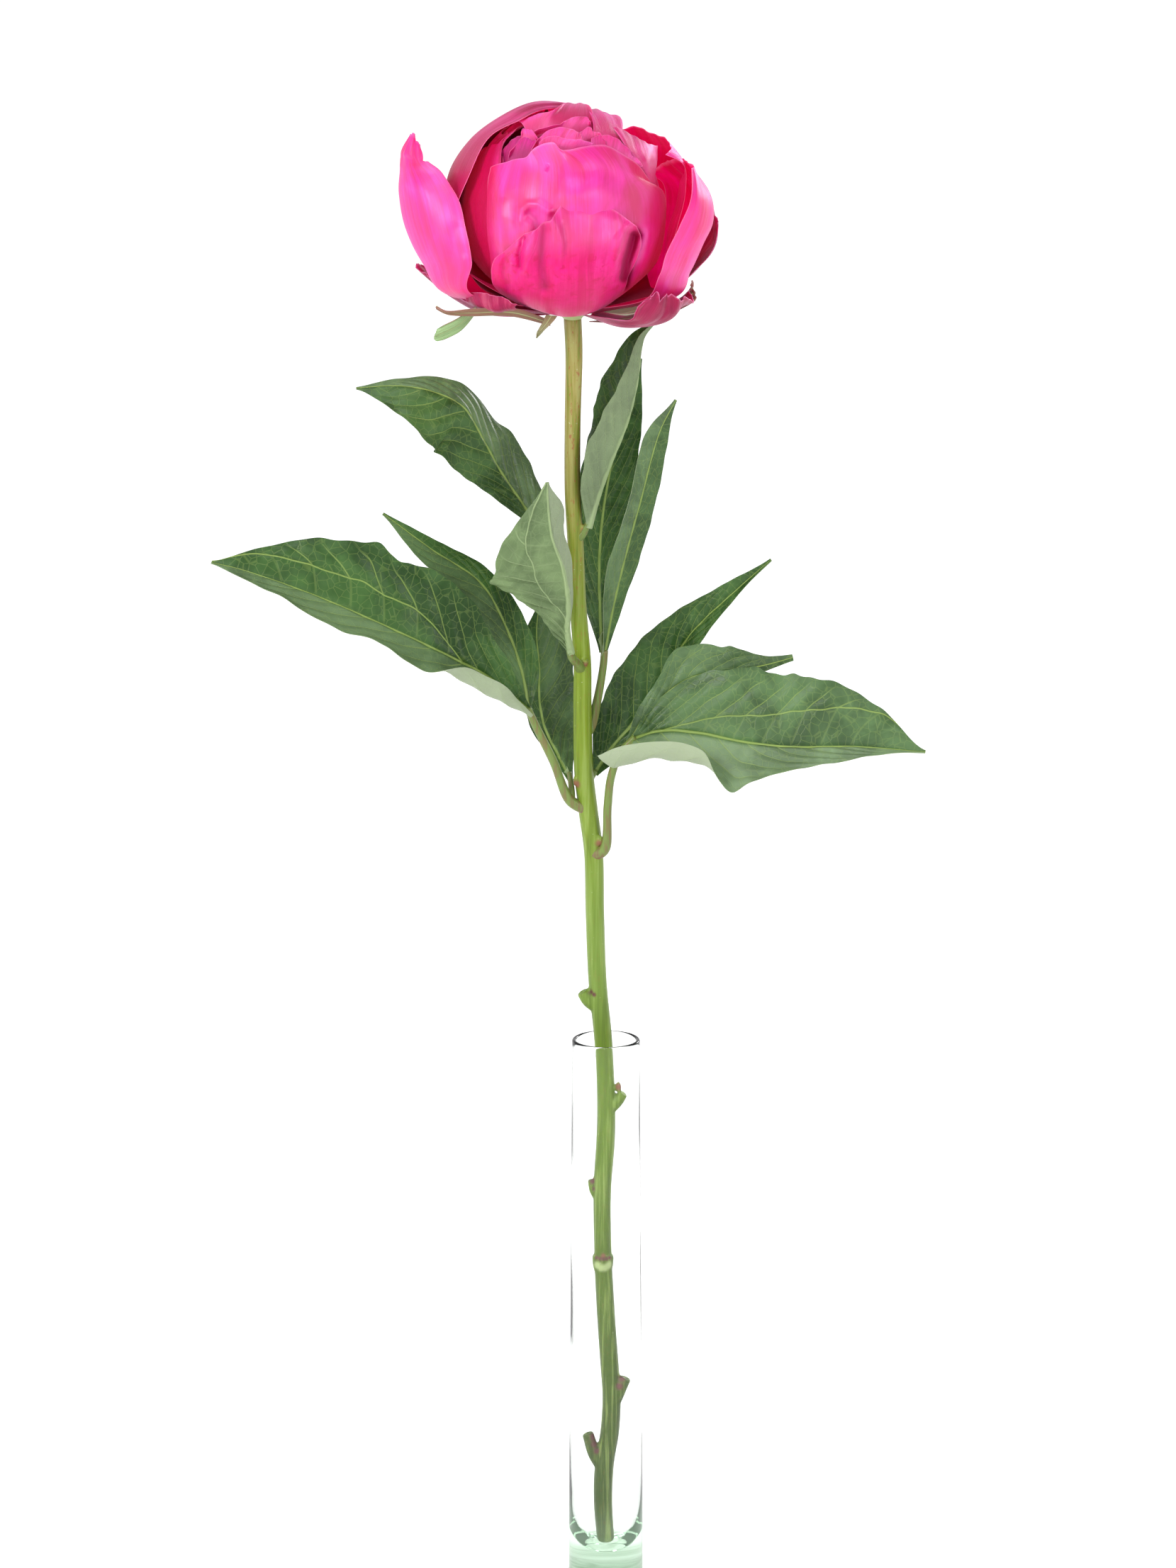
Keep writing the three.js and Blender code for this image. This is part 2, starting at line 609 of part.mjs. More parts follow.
const BROAD = [0.26, 0.72, 1, 1, 0.72];
const ROOT = [5, 1];
const OUTER_PETALS = {
  petal_front: {
    bearing: -96,
    line: [ROOT, ...ballLine(129, 3.4)],
    half: 45,
    outline: BROAD,
    cup: [34, 44, 44, 40],
    round: 0.16,
    notch: 0.03,
    wave: [0.4, 3, 0],
  },
  petal_front_low: {
    bearing: -89,
    line: [ROOT, ...ballLine(105, 5.8)],
    half: 26,
    outline: BROAD,
    cup: [30, 45, 47, 44],
    round: 0.2,
    notch: 0.03,
    wave: [0.5, 3, 1],
  },
  petal_left: {
    bearing: -163,
    line: [[6, -1], [24, -2], [40, 3.5], [51, 15], [60.5, 40], [58, 66]],
    half: 29,
    outline: [0.25, 0.6, 0.9, 1, 0.5],
    cup: [28, 36, 38, 38],
    round: 0.24,
    wave: [0.7, 3, 0],
  },
  petal_right: {
    bearing: 8,
    line: [[6, -1], [22, -2.5], [38, 4], [46, 15], [49.5, 32], [44, 50]],
    half: 30,
    outline: [0.3, 0.7, 1, 1, 0.85],
    cup: [24, 26, 28, 28],
    round: 0.14,
    wave: [0.6, 3, 2],
  },
  petal_right_rear: {
    bearing: 27,
    line: [[6, -1], [24, -3], [42, 3], [51, 14], [54.5, 26], [53, 34]],
    half: 20,
    outline: BROAD,
    cup: [26, 32, 38, 38],
    round: 0.25,
    wave: [0.5, 3, 1],
  },
  petal_back_left: {
    bearing: 163,
    line: [ROOT, ...ballLine(160, 4.6)],
    half: 40,
    outline: BROAD,
    cup: [30, 44, 45, 38],
    round: 0.14,
    notch: 0.03,
    wave: [0.5, 3, 2],
  },
  petal_back_right: {
    bearing: 44,
    line: [ROOT, ...ballLine(130, 5)],
    half: 29,
    outline: BROAD,
    cup: [30, 42, 44, 44],
    round: 0.18,
    notch: 0.04,
    wave: [0.8, 3, 3],
  },
  petal_back: {
    bearing: 104,
    line: [ROOT, ...ballLine(134, 7.4)],
    half: 31,
    outline: BROAD,
    cup: [30, 46, 48, 46],
    round: 0.18,
    notch: 0.04,
    wave: [0.8, 3, 4],
  },
  petal_low_left: {
    bearing: 176,
    line: [[6, -2.5], [22, -4], [42, 0], [52, 5], [57, 12]],
    half: 13,
    outline: BROAD,
    cup: [24, 28, 30],
    round: 0.3,
    wave: [0.5, 2, 0],
  },
  petal_low_front: {
    bearing: -141,
    line: [[6, -2.5], [20, -4], [34, -1], [44, 3], [50, 7]],
    half: 13,
    outline: BROAD,
    cup: [20, 26, 26],
    round: 0.25,
    wave: [0.6, 3, 0],
  },
  petal_low_right: {
    bearing: -40,
    line: [[6, -2.5], [20, -4.5], [34, -2], [44, 3], [50, 8]],
    half: 19,
    outline: BROAD,
    cup: [22, 30, 32],
    round: 0.22,
    wave: [0.8, 3, 1],
  },
  petal_low_back: {
    bearing: 76,
    line: [[6, -2.5], [22, -5], [40, -2], [53, 5], [58, 12]],
    half: 17,
    outline: BROAD,
    cup: [22, 30, 34],
    round: 0.25,
    wave: [0.8, 3, 2],
  },
};

// Petals of the closed heart, in layers from the outside in, five round the axis in each. Neighbours lie at
// different depths, so that each covers one margin of the next. Their roots are sunk in a smaller core.
const HEART_LAYERS = [
  { lift: 0.6, reach: 138, first: -54, half: 27 },
  { lift: -2.2, reach: 152, first: -18, half: 24 },
  { lift: -5, reach: 165, first: -46, half: 19 },
];
const HEART_TURN = 72;
const HEART_DEPTHS = [0, 1.1, 0, 1.1, 2.2];
const CORE_INSET = 7.2;

function heartPetals() {
  return HEART_LAYERS.flatMap(({ lift, reach, first, half }, layer) =>
    HEART_DEPTHS.map((depth, k) => ({
      bearing: first + HEART_TURN * k + 5 * Math.sin(3 * k + layer),
      line: [
        ...ballLine(78, -CORE_INSET - 3, 70).slice(0, 1),
        ...ballLine(reach + 5 * Math.sin(2.3 * k + layer), lift - depth, 84),
      ],
      half: half + 2 * Math.sin(2.1 * k + layer),
      outline: [0.8, 1, 1, 0.72],
      cup: [40 + lift, 40 + lift, 36 + lift],
      round: 0.16,
      notch: 0.04,
      wave: [0.4, 3, k + layer],
    })),
  );
}

function heartSolid() {
  const centre = [BLOOM_BASE[0], BLOOM_BASE[1], BLOOM_BASE[2] + BALL_CENTRE];
  const radius = BALL_RADIUS - CORE_INSET;
  const core = ballSolid(centre, [radius, radius, BALL_HALF_HEIGHT - CORE_INSET / 2], 18);
  return joined([core, ...heartPetals().map((petal) => petalSolid(petal, 5, 4))]);
}

// Calyx: the swollen top of the stem with its sepals, two of them long and leafy

const SEPALS = [
  { bearing: -166, line: [[3, -4], [18, -7], [34, -6.5], [44, -8], [52, -13]], half: 5.5 },
  { bearing: -148, line: [[3, -4], [18, -7], [34, -5], [48, -1], [57, 3]], half: 3.5 },
  { bearing: -122, line: [[3, -4], [9, -5.5], [13, -7], [17, -9.5]], half: 2.5 },
  { bearing: -20, line: [[3, -4], [18, -7], [34, -6], [44, -1], [51, 6]], half: 8 },
  { bearing: 46, line: [[3, -4], [20, -8], [36, -8], [48, -5], [55, 2]], half: 8 },
  { bearing: 122, line: [[3, -4], [20, -8], [38, -8], [50, -11], [57, -18]], half: 6 },
];
const SEPAL_OUTLINE = [0.6, 0.9, 1, 0.75, 0.1];

function calyxSolid(swell = 0) {
  const radii = [3.6, 7, 8].map((radius) => radius + swell);
  const seat = tubeSolid([[-12, 0, 471.5], [-12, 0, 474], [-12, 0, 478 + swell]], radii, 12, 3);
  const sepals = SEPALS.map((sepal) => {
    const wide = { ...sepal, half: sepal.half + swell };
    const shape = { ...wide, outline: SEPAL_OUTLINE, cup: [12, 20, 20], round: 0.1, wave: [0.3, 2, 0] };
    return sheetSolid(petalPoint(shape), evenly(-1, 1, 3), evenly(0, 1, 6), LEAF_THICKNESS + 2 * swell);
  });
  return joined([seat, ...sepals]);
}

// Assembly

const part = new THREE.Group();

function addMesh(name, solid, finish) {
  const mesh = new THREE.Mesh(geometryOf(solid), new THREE.MeshStandardMaterial(finish));
  mesh.name = name;
  part.add(mesh);
}

// A slightly fat copy of a solid, which cuts its neighbours so that they stand clear of it.
function fatStem() {
  const fatter = STEM_RADII.map((radius) => radius + FIT_GAP);
  const top = STEM_LINE[STEM_LINE.length - 1];
  const bottom = STEM_LINE[0];
  const line = [
    [bottom[0], bottom[1], bottom[2] - FIT_GAP],
    ...STEM_LINE.slice(1, -1),
    [top[0], top[1], top[2] + FIT_GAP],
  ];
  const buds = BUDS.map(({ at, radii }) => ballSolid(at, radii.map((radius) => radius + FIT_GAP), 8));
  return joined([tubeSolid(line, fatter, 11, 36), ...buds]);
}

const vase = solidOf(vaseGeometry());
addMesh("vase", vase, GLASS);
addMesh("stem", tidied(stemSolid(), 0.02), STEM_GREEN);

const stemRoom = fatStem();
for (const [name, leaf] of Object.entries(LEAVES))
  addMesh(name, tidied(leafSolid(leaf).subtract(stemRoom), 0.03), LEAF_GREEN);

addMesh("calyx", tidied(calyxSolid().subtract(stemRoom), 0.05), SEPAL_GREEN);

let taken = calyxSolid(FIT_GAP + 0.1);
for (const [name, petal] of Object.entries(OUTER_PETALS)) {
  const solid = tidied(petalSolid(petal).subtract(taken), 0.06);
  addMesh(name, solid, name.startsWith("petal_low") ? PETAL_CRIMSON : PETAL_PINK);
  taken = taken.add(petalRoom(petal));
}
addMesh("bloom_heart", tidied(heartSolid().subtract(taken), 0.12), PETAL_PINK);

export default part;
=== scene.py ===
"""The looks of a half-open pink peony on its leafy stem, in a bud vase of clear glass.

The tables are in millimetres, as the part's source is, and the meshes in metres. +Z is up, and the viewer is at -Y.
"""

import math

import bpy
import numpy as np
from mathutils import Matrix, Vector


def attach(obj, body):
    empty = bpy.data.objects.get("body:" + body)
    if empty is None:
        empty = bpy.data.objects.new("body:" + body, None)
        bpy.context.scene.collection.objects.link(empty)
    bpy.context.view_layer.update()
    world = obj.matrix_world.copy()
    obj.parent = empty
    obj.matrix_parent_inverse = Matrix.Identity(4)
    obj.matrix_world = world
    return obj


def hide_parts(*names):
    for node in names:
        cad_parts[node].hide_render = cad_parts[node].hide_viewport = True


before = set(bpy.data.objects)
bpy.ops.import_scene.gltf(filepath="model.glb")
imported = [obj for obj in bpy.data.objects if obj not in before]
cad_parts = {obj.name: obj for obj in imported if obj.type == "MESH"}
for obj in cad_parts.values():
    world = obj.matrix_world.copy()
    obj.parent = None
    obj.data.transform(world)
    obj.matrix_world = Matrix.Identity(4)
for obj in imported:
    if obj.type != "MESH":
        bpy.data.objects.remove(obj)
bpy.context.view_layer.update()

MM = 0.001
TURN = 2 * math.pi

# Driving sizes, in millimetres
VASE_HEIGHT = 205
VASE_FOOT_RADIUS = 13.6
VASE_RIM_RADIUS = 12.3
VASE_WALL = 1.5
VASE_FLOOR = 11.8
LEAF_THICKNESS = 0.36
PETAL_THICKNESS = 0.42
BLOOM_BASE = [-12, 0, 477]
CELL = 0.8
STEM_CELL = 0.5
# Faces that meet at a wider angle than this are shaded with a crisp edge.
SHARP = math.radians(62)

# The photograph's view: its tilt below the horizon, the point that it looks at, and the height that it takes in,
# from the photograph's height in pixels and the millimetres to a pixel
VIEW_TILT = math.radians(14)
VIEW_DISTANCE = 4.0
VIEW_TARGET = Vector((-0.0065, 0, 0.3))
VIEW_WAY = Vector((0, -math.cos(VIEW_TILT), math.sin(VIEW_TILT)))
VIEW_PLACE = VIEW_TARGET + VIEW_WAY * VIEW_DISTANCE
PHOTO_HEIGHT = 2212
PIXEL = 0.255
VIEW_HEIGHT = PHOTO_HEIGHT * PIXEL * MM
SENSOR = 24


# Curves and surfaces


def unit(vectors):
    return vectors / np.maximum(np.linalg.norm(vectors, axis=-1, keepdims=True), 1e-9)


def along(entries, share):
    """The value at a share of a list spread evenly from base to tip, on a smooth curve through its entries."""
    table = np.asarray(entries, float)
    last = len(table) - 1
    place = np.clip(np.asarray(share, float), 0, 1) * last
    i = np.minimum(place.astype(int), last - 1)
    t = (place - i).reshape(place.shape + (1,) * (table.ndim - 1))
    a, b, c, d = (table[np.clip(i + k, 0, last)] for k in (-1, 0, 1, 2))
    return b + 0.5 * t * (c - a + t * (2 * a - 5 * b + 4 * c - d + t * (3 * (b - c) + d - a)))


class Line:
    """A smooth line through points, read by its share of the length."""

    def __init__(self, points, steps=50):
        p = np.array(points, float)
        p = np.vstack([2 * p[0] - p[1], p, 2 * p[-1] - p[-2]])
        t = np.linspace(0, 1, steps, endpoint=False)[:, None]
        pieces = []
        for a, b, c, d in zip(p, p[1:], p[2:], p[3:]):
            before, here, after = (math.sqrt(np.linalg.norm(y - x)) for x, y in ((a, b), (b, c), (c, d)))
            start = ((b - a) / before - (c - a) / (before + here) + (c - b) / here) * here
            end = ((c - b) / here - (d - b) / (here + after) + (d - c) / after) * here
            cubic = 3 * (c - b) - 2 * start - end + t * (2 * (b - c) + start + end)
            pieces.append(b + t * (start + t * cubic))
        self.points = np.vstack(pieces + [p[-2]])
        steps = np.linalg.norm(np.diff(self.points, axis=0), axis=1)
        self.length = steps.sum()
        self.shares = np.concatenate([[0], np.cumsum(steps)]) / self.length

    def at(self, share):
        return np.stack([np.interp(share, self.shares, self.points[:, k]) for k in range(3)], -1)

    def tangent(self, share):
        reach = 0.006
        return unit(self.at(np.minimum(share + reach, 1)) - self.at(np.maximum(share - reach, 0)))


def grid(width, length, cell=CELL):
    """Shares s across, from -1 to 1, and v from base to tip, on a grid with cells of about the given size."""
    columns = max(8, 2 * round(width / cell / 2))
    rows = max(6, round(length / cell))
    return np.meshgrid(np.linspace(-1, 1, columns + 1), np.linspace(0, 1, rows + 1))


def grid_normals(points):
    return unit(np.cross(np.gradient(points, axis=1), np.gradient(points, axis=0)))


def grid_steps(points, axis):
    return np.linalg.norm(np.diff(points, axis=axis), axis=2)


def smooth_step(x):
    x = np.clip(x, 0, 1)
    return x * x * (3 - 2 * x)


def bell(x, width):
    return np.exp(-((x / width) ** 2))


# Meshes. A patch is the vertices of one closed body with its faces, each face's material and each vertex's data.


def sheet_patch(points, front, back, materials, data):
    """A closed thin sheet round a grid of points. front and back are its thicknesses to either side, and materials are
    those of its front, back and rim. data holds a value for each point of the grid under each name."""
    rows, wide = points.shape[:2]
    other = rows * wide
    normals = grid_normals(points)
    a = (np.arange(rows - 1)[:, None] * wide + np.arange(wide - 1)).ravel()
    near = np.stack([a, a + 1, a + wide + 1, a + wide], 1)
    low = np.arange(wide)
    right = np.arange(rows) * wide + wide - 1
    high = low[::-1] + (rows - 1) * wide
    left = right[::-1] - wide + 1
    loop = np.concatenate([low[:-1], right[:-1], high[:-1], left[:-1]])
    after = np.roll(loop, -1)
    faces = [near, near[:, ::-1] + other, np.stack([loop, loop + other, after + other, after], 1)]
    sides = [points + normals * front[..., None], points - normals * back[..., None]]
    return {
        "vertices": np.concatenate([side.reshape(-1, 3) for side in sides]),
        "faces": faces,
        "materials": np.repeat(materials, list(map(len, faces))),
        "data": {name: np.concatenate([value.reshape(other, -1)] * 2) for name, value in data.items()},
    }


def ringed_patch(rings, poles, material=0, data=()):
    """A closed body of rings, with a pole below the first and one above the last."""
    count, sides = rings.shape[:2]
    ring = np.arange(sides)
    after = (ring + 1) % sides
    start = np.arange(count - 1)[:, None] * sides
    a, b = (start + ring).ravel(), (start + after).ravel()
    last, pole = (count - 1) * sides, np.full(sides, count * sides)
    faces = [
        np.stack([a, b, b + sides, a + sides], 1),
        np.stack([after, ring, pole], 1),
        np.stack([last + ring, last + after, pole + 1], 1),
    ]
    return {
        "vertices": np.vstack([rings.reshape(-1, 3), poles]),
        "faces": faces,
        "materials": np.full(sum(map(len, faces)), material),
        "data": dict(data),
    }


def tube_patch(line, radii, sides, steps, material=0, ribs=0.0):
    """A round tube of changing radius along a smooth line, with rounded ends and perhaps five faint ribs."""
    # Past each end there is a narrower ring and then a pole. These are how far out the ring lies and how wide it is,
    # as shares of the tube's radius there, and how far out the pole lies, as a share of the ring's.
    beyond, shrunk, tip = 0.3, 0.55, 0.2
    curve = Line(line)
    share = np.linspace(0, 1, steps + 1)
    centres, tangents, radius = curve.at(share), curve.tangent(share), along(radii, share)
    side = unit(np.cross(tangents[0], [0.3, 1, 0.2]))
    sideways = []
    for tangent in tangents:
        side = unit(side - tangent * np.dot(side, tangent))
        sideways.append(side)
    across = np.cross(tangents, np.array(sideways))
    ends = [centres[k] + way * tangents[k] * radius[k] * beyond for k, way in ((0, -1), (-1, 1))]
    centres = np.vstack([ends[0], centres, ends[1]])
    radius = np.concatenate([radius[:1] * shrunk, radius, radius[-1:] * shrunk])
    sideways, across = (np.vstack([rows[:1], rows, rows[-1:]]) for rows in (sideways, across))
    angle = np.arange(sides) / sides * TURN
    reach = radius[:, None] * (1 + ribs * np.cos(5 * angle))
    rings = centres[:, None] + sideways[:, None] * (reach * np.cos(angle))[..., None]
    rings = rings + across[:, None] * (reach * np.sin(angle))[..., None]
    poles = [centres[k] + way * tangents[k] * tip * radius[k] for k, way in ((0, -1), (-1, 1))]
    shares = np.clip(np.linspace(-1 / steps, 1 + 1 / steps, len(centres)), 0, 1)
    length = np.concatenate([np.repeat(shares, sides), [0, 1]])
    return ringed_patch(rings, poles, material, {"along": length[:, None]})


def ball_patch(centre, radius, half_height, sides, steps, rows=9, least=0.1, **more):
    """An ellipsoid of revolution, whose rings never get narrower than the least radius."""
    rise = np.linspace(-1, 1, rows)
    line = [[centre[0], centre[1], centre[2] + half_height * x] for x in rise]
    radii = [max(least, radius * math.sqrt(max(0, 1 - x * x))) for x in rise]
    return tube_patch(line, radii, sides, steps, **more)


def fill(data, name, values, kind=np.float32):
    data.foreach_set(name, np.asarray(values).astype(kind).ravel())


def add_field(mesh, name, values):
    """Vertex data that a material reads."""
    kind, word = ("FLOAT", "value") if values.shape[1] == 1 else ("FLOAT_VECTOR", "vector")
    fill(mesh.attributes.new(name, kind, "POINT").data, word, values)


def make_mesh(name, patches, materials, fields=()):
    """One object made of patches. fields are the names of the vertex data that its materials read, with their sizes."""
    mesh = bpy.data.meshes.new(name)
    counts = [len(patch["vertices"]) for patch in patches]
    starts = np.cumsum([0] + counts)
    faces = [part + start for patch, start in zip(patches, starts) for part in patch["faces"]]
    corners = np.concatenate([part.ravel() for part in faces])
    sizes = np.concatenate([np.full(len(part), part.shape[1]) for part in faces])
    mesh.vertices.add(sum(counts))
    mesh.loops.add(len(corners))
    mesh.polygons.add(len(sizes))
    fill(mesh.vertices, "co", np.vstack([patch["vertices"] for patch in patches]) * MM)
    fill(mesh.loops, "vertex_index", corners, np.int32)
    fill(mesh.polygons, "loop_start", np.cumsum(sizes) - sizes, np.int32)
    fill(mesh.polygons, "material_index", np.concatenate([patch["materials"] for patch in patches]), np.int32)
    fill(mesh.polygons, "use_smooth", np.ones(len(sizes)), bool)
    for material in materials:
        mesh.materials.append(material)
    for field, size in fields:
        values = [patch["data"].get(field, np.zeros((count, size))) for patch, count in zip(patches, counts)]
        add_field(mesh, field, np.vstack(values))
    mesh.update(calc_edges=True)
    mesh.validate()
    mesh.set_sharp_from_angle(angle=SHARP)
    piece = bpy.data.objects.new(name, mesh)
    bpy.context.scene.collection.objects.link(piece)
    return piece


def dress(piece, slot, node):
    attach(piece, "root")
    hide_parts(node)


# Materials


class Value:
    """What a node puts out. Its sums and products are nodes too, and so are its fades and mixes."""

    def __init__(self, finish, socket):
        self.finish, self.socket = finish, socket

    def math(self, operation, other=0.0):
        return self.finish.node("Math", {0: self, 1: other}, operation=operation)

    def __add__(self, other):
        return self.math("ADD", other)

    def __sub__(self, other):
        return self.math("SUBTRACT", other)

    def __mul__(self, other):
        return self.math("MULTIPLY", other)

    def __truediv__(self, other):
        return self.math("DIVIDE", other)

    def __abs__(self):
        return self.math("ABSOLUTE")

    def most(self, other):
        return self.math("MAXIMUM", other)

    def fade(self, low, high, to_low=0.0, to_high=1.0):
        """A smooth step from one value at low to another at high."""
        sockets = {0: self, 1: low, 2: high, 3: to_low, 4: to_high}
        return self.finish.node("MapRange", sockets, interpolation_type="SMOOTHSTEP")

    def line(self, half_width):
        """1 on the line where this is 0, fading to 0 at the half width."""
        return abs(self).fade(half_width, half_width * 0.35)

    def mix(self, a, b):
        """The colour a where this is 0, going over to b where it is 1."""
        return self.finish.node("Mix", {0: self, 6: a, 7: b}, 2, data_type="RGBA")

    def bump(self, depth, strength=1.0):
        return self.finish.node("Bump", {"Height": self, "Distance": depth, "Strength": strength})

    def parts(self):
        outputs = self.finish.node("SeparateXYZ", {0: self}).socket.node.outputs
        return [Value(self.finish, output) for output in outputs]

    def scaled(self, *scale):
        return self.finish.node("Mapping", {"Vector": self, "Scale": scale})

    def noise(self, scale=1.0, detail=3.0, roughness=0.55, distortion=0.0):
        sockets = dict(Vector=self, Scale=scale, Detail=detail, Roughness=roughness, Distortion=distortion)
        return self.finish.node("TexNoise", sockets)

    def cells(self, scale):
        return self.finish.node("TexVoronoi", dict(Vector=self, Scale=scale), feature="DISTANCE_TO_EDGE")


class Finish:
    """One node material on a Principled shader. A value that is the same all over goes straight on its socket."""

    def __init__(self, name, **values):
        self.material = bpy.data.materials.new(name)
        self.material.use_nodes = True
        self.tree = self.material.node_tree
        self.done(**values)

    def node(self, kind, sockets=(), output=0, **settings):
        node = self.tree.nodes.new("ShaderNode" + kind)
        for name, value in settings.items():
            setattr(node, name, value)
        for key, value in dict(sockets).items():
            self.feed(node.inputs[key], value)
        return Value(self, node.outputs[output])

    def feed(self, socket, value):
        if isinstance(value, Value):
            self.tree.links.new(value.socket, socket)
        else:
            socket.default_value = (*value, 1) if socket.type == "RGBA" else value

    def done(self, **values):
        """The material, with values or nodes on the shader's sockets."""
        for name, value in values.items():
            self.feed(self.tree.nodes["Principled BSDF"].inputs[name.replace("_", " ")], value)
        return self.material

    def field(self, name, output="Fac"):
        return self.node("Attribute", output=output, attribute_name=name)

    def vector(self, x, y, z=0.0):
        return self.node("CombineXYZ", {0: x, 1: y, 2: z})

    def place(self):
        return self.node("TexCoord", output="Object")


# Materials of the leaves: a satin upper face with sunk veins, and a paler, matt underside with raised ones

LEAF_GLOW = (0.0006, 0.0012, 0.0003)


def vein_mask(finish, rib_width, net):
    """1 on the veins of a blade: the midrib, the strong side vein, the side veins and a fine net between them."""
    rib, side, order = finish.field("veins", "Vector").parts()
    share, fade, _ = finish.field("blade", "Vector").parts()
    middle = (abs(rib) / (share * (-0.75 * rib_width) + rib_width)).fade(1.0, 0.4)
    third = ((order + 0.5).math("FRACT") - 0.5).line(0.05) * fade
    mesh = finish.field("flat", "Vector").cells(0.32).fade(0.07, 0.0, 0.0, net)
    return middle.most(side.line(0.42) * 0.85).most(third * 0.6).most(mesh)


def leaf_upper():
    finish = Finish(
        "leaf_upper", Roughness=0.4, Specular_IOR_Level=0.26, Subsurface_Weight=0.04, Subsurface_Radius=LEAF_GLOW
    )
    flat = finish.field("flat", "Vector")
    veins = vein_mask(finish, 0.95, 0.22)
    blotch = flat.noise(0.045, 4.0, 0.6, 0.6).fade(0.34, 0.68)
    body = blotch.mix((0.012, 0.044, 0.005), (0.050, 0.125, 0.026))
    body = flat.noise(0.1, 5.0, 0.65).fade(0.5, 0.8, 0.0, 0.22).mix(body, (0.15, 0.25, 0.10))
    # Paler and greyer where this field is high: partly a waxy bloom, partly painted sheen on a half that catches the
    # light.
    body = (finish.field("wax") * blotch.fade(0.0, 1.0, 0.6, 1.0)).mix(body, (0.25, 0.35, 0.20))
    body = flat.noise(1.4, 2.0, 0.5).fade(0.74, 0.8, 0.0, 0.45).mix(body, (0.3, 0.36, 0.22))
    body = (veins * 0.8).mix(body, (0.26, 0.36, 0.09))
    relief = flat.noise(0.8, 3.0, 0.55) * 0.2 - veins * 0.6
    return finish.done(Base_Color=body, Roughness=blotch.fade(0.0, 1.0, 0.34, 0.44), Normal=relief.bump(0.00026))


def leaf_under():
    finish = Finish(
        "leaf_under", Roughness=0.6, Specular_IOR_Level=0.35, Subsurface_Weight=0.05, Subsurface_Radius=LEAF_GLOW
    )
    flat = finish.field("flat", "Vector")
    veins = vein_mask(finish, 1.3, 0.18)
    blotch = flat.noise(0.06, 4.0, 0.6, 0.8).fade(0.34, 0.66)
    body = blotch.mix((0.09, 0.14, 0.055), (0.155, 0.23, 0.095))
    # Paler and greyer where this field is high: partly a waxy bloom, partly painted sheen on a half that catches the
    # light.
    body = (finish.field("wax") * 2.2).math("MINIMUM", 1.0).mix(body, (0.30, 0.36, 0.23))
    body = (veins * 0.65).mix(body, (0.33, 0.43, 0.21))
    relief = flat.noise(0.9, 5.0, 0.6) * 0.3 + veins * 0.7
    return finish.done(Base_Color=body, Normal=relief.bump(0.0004))


def stalk_green():
    finish = Finish("stalk", Roughness=0.42, Specular_IOR_Level=0.5)
    fibre = finish.place().scaled(900, 900, 60).noise(1.0, 3.0, 0.6)
    body = fibre.mix((0.085, 0.14, 0.022), (0.20, 0.28, 0.06))
    body = fibre.fade(0.52, 0.4, 0.0, 0.5).mix(body, (0.20, 0.10, 0.05))
    axil = finish.field("along").fade(0.12, 0.02) * fibre.fade(0.3, 0.7, 0.8, 0.3)
    return finish.done(Base_Color=axil.mix(body, (0.20, 0.055, 0.055)), Normal=fibre.bump(0.00012))


# Materials of the bloom. A petal's tones are its body, deep and pale colours.

LOOKS = dict(
    outer=dict(tones=[(0.88, 0.010, 0.28), (0.76, 0.002, 0.11), (0.95, 0.07, 0.48)]),
    # The front petal deepens towards both side margins: painted shade where it bends away from the light.
    front=dict(
        tones=[(0.84, 0.012, 0.29), (0.60, 0.001, 0.07), (0.92, 0.06, 0.46)],
        glow=0.2, shaded_turns=[(0.62, 0.84, 0.95), (-0.78, -0.98, 0.9)],
    ),
    # The left flank takes its deep tone over most of its width: painted shade for the hollow beside the large petals.
    flank=dict(
        tones=[(0.84, 0.006, 0.24), (0.42, 0.001, 0.045), (0.9, 0.02, 0.36)],
        rim=0.0, gloss=0.6, glow=0.2, shaded_turns=[(0.95, 0.6, 0.95)],
    ),
    mottled=dict(
        tones=[(0.78, 0.010, 0.22), (0.58, 0.002, 0.09), (0.92, 0.10, 0.42)], mottled=0.7, root=0.5, rim=0.2, glow=0.2
    ),
    mauve=dict(tones=[(0.66, 0.008, 0.18), (0.34, 0.001, 0.05), (0.86, 0.09, 0.36)], root=0.8, gloss=0.25),
    crown=dict(tones=[(0.90, 0.026, 0.28), (0.56, 0.003, 0.08), (0.94, 0.10, 0.44)], root=0.84),
    violet=dict(tones=[(0.60, 0.006, 0.19), (0.34, 0.001, 0.07), (0.78, 0.03, 0.34)], root=0.84, gloss=0.5),
    deep=dict(tones=[(0.74, 0.001, 0.13), (0.58, 0.001, 0.06), (0.84, 0.002, 0.2)], gloss=0.3),
    # The inner faces glow faintly in their own colour: a painted glow for light shining through the petals.
    inner=dict(tones=[(0.80, 0.001, 0.14), (0.60, 0.001, 0.06), (0.90, 0.002, 0.22)], gloss=0.3, painted_backlight=0.34),
    crimson=dict(tones=[(0.36, 0.008, 0.05), (0.24, 0.004, 0.03), (0.5, 0.05, 0.11)]),
    low=dict(tones=[(0.34, 0.005, 0.055), (0.20, 0.002, 0.028), (0.52, 0.08, 0.15)], gloss=0.3),
    core=dict(tones=[(0.40, 0.001, 0.02), (0.28, 0.001, 0.015), (0.48, 0.002, 0.03)]),
)


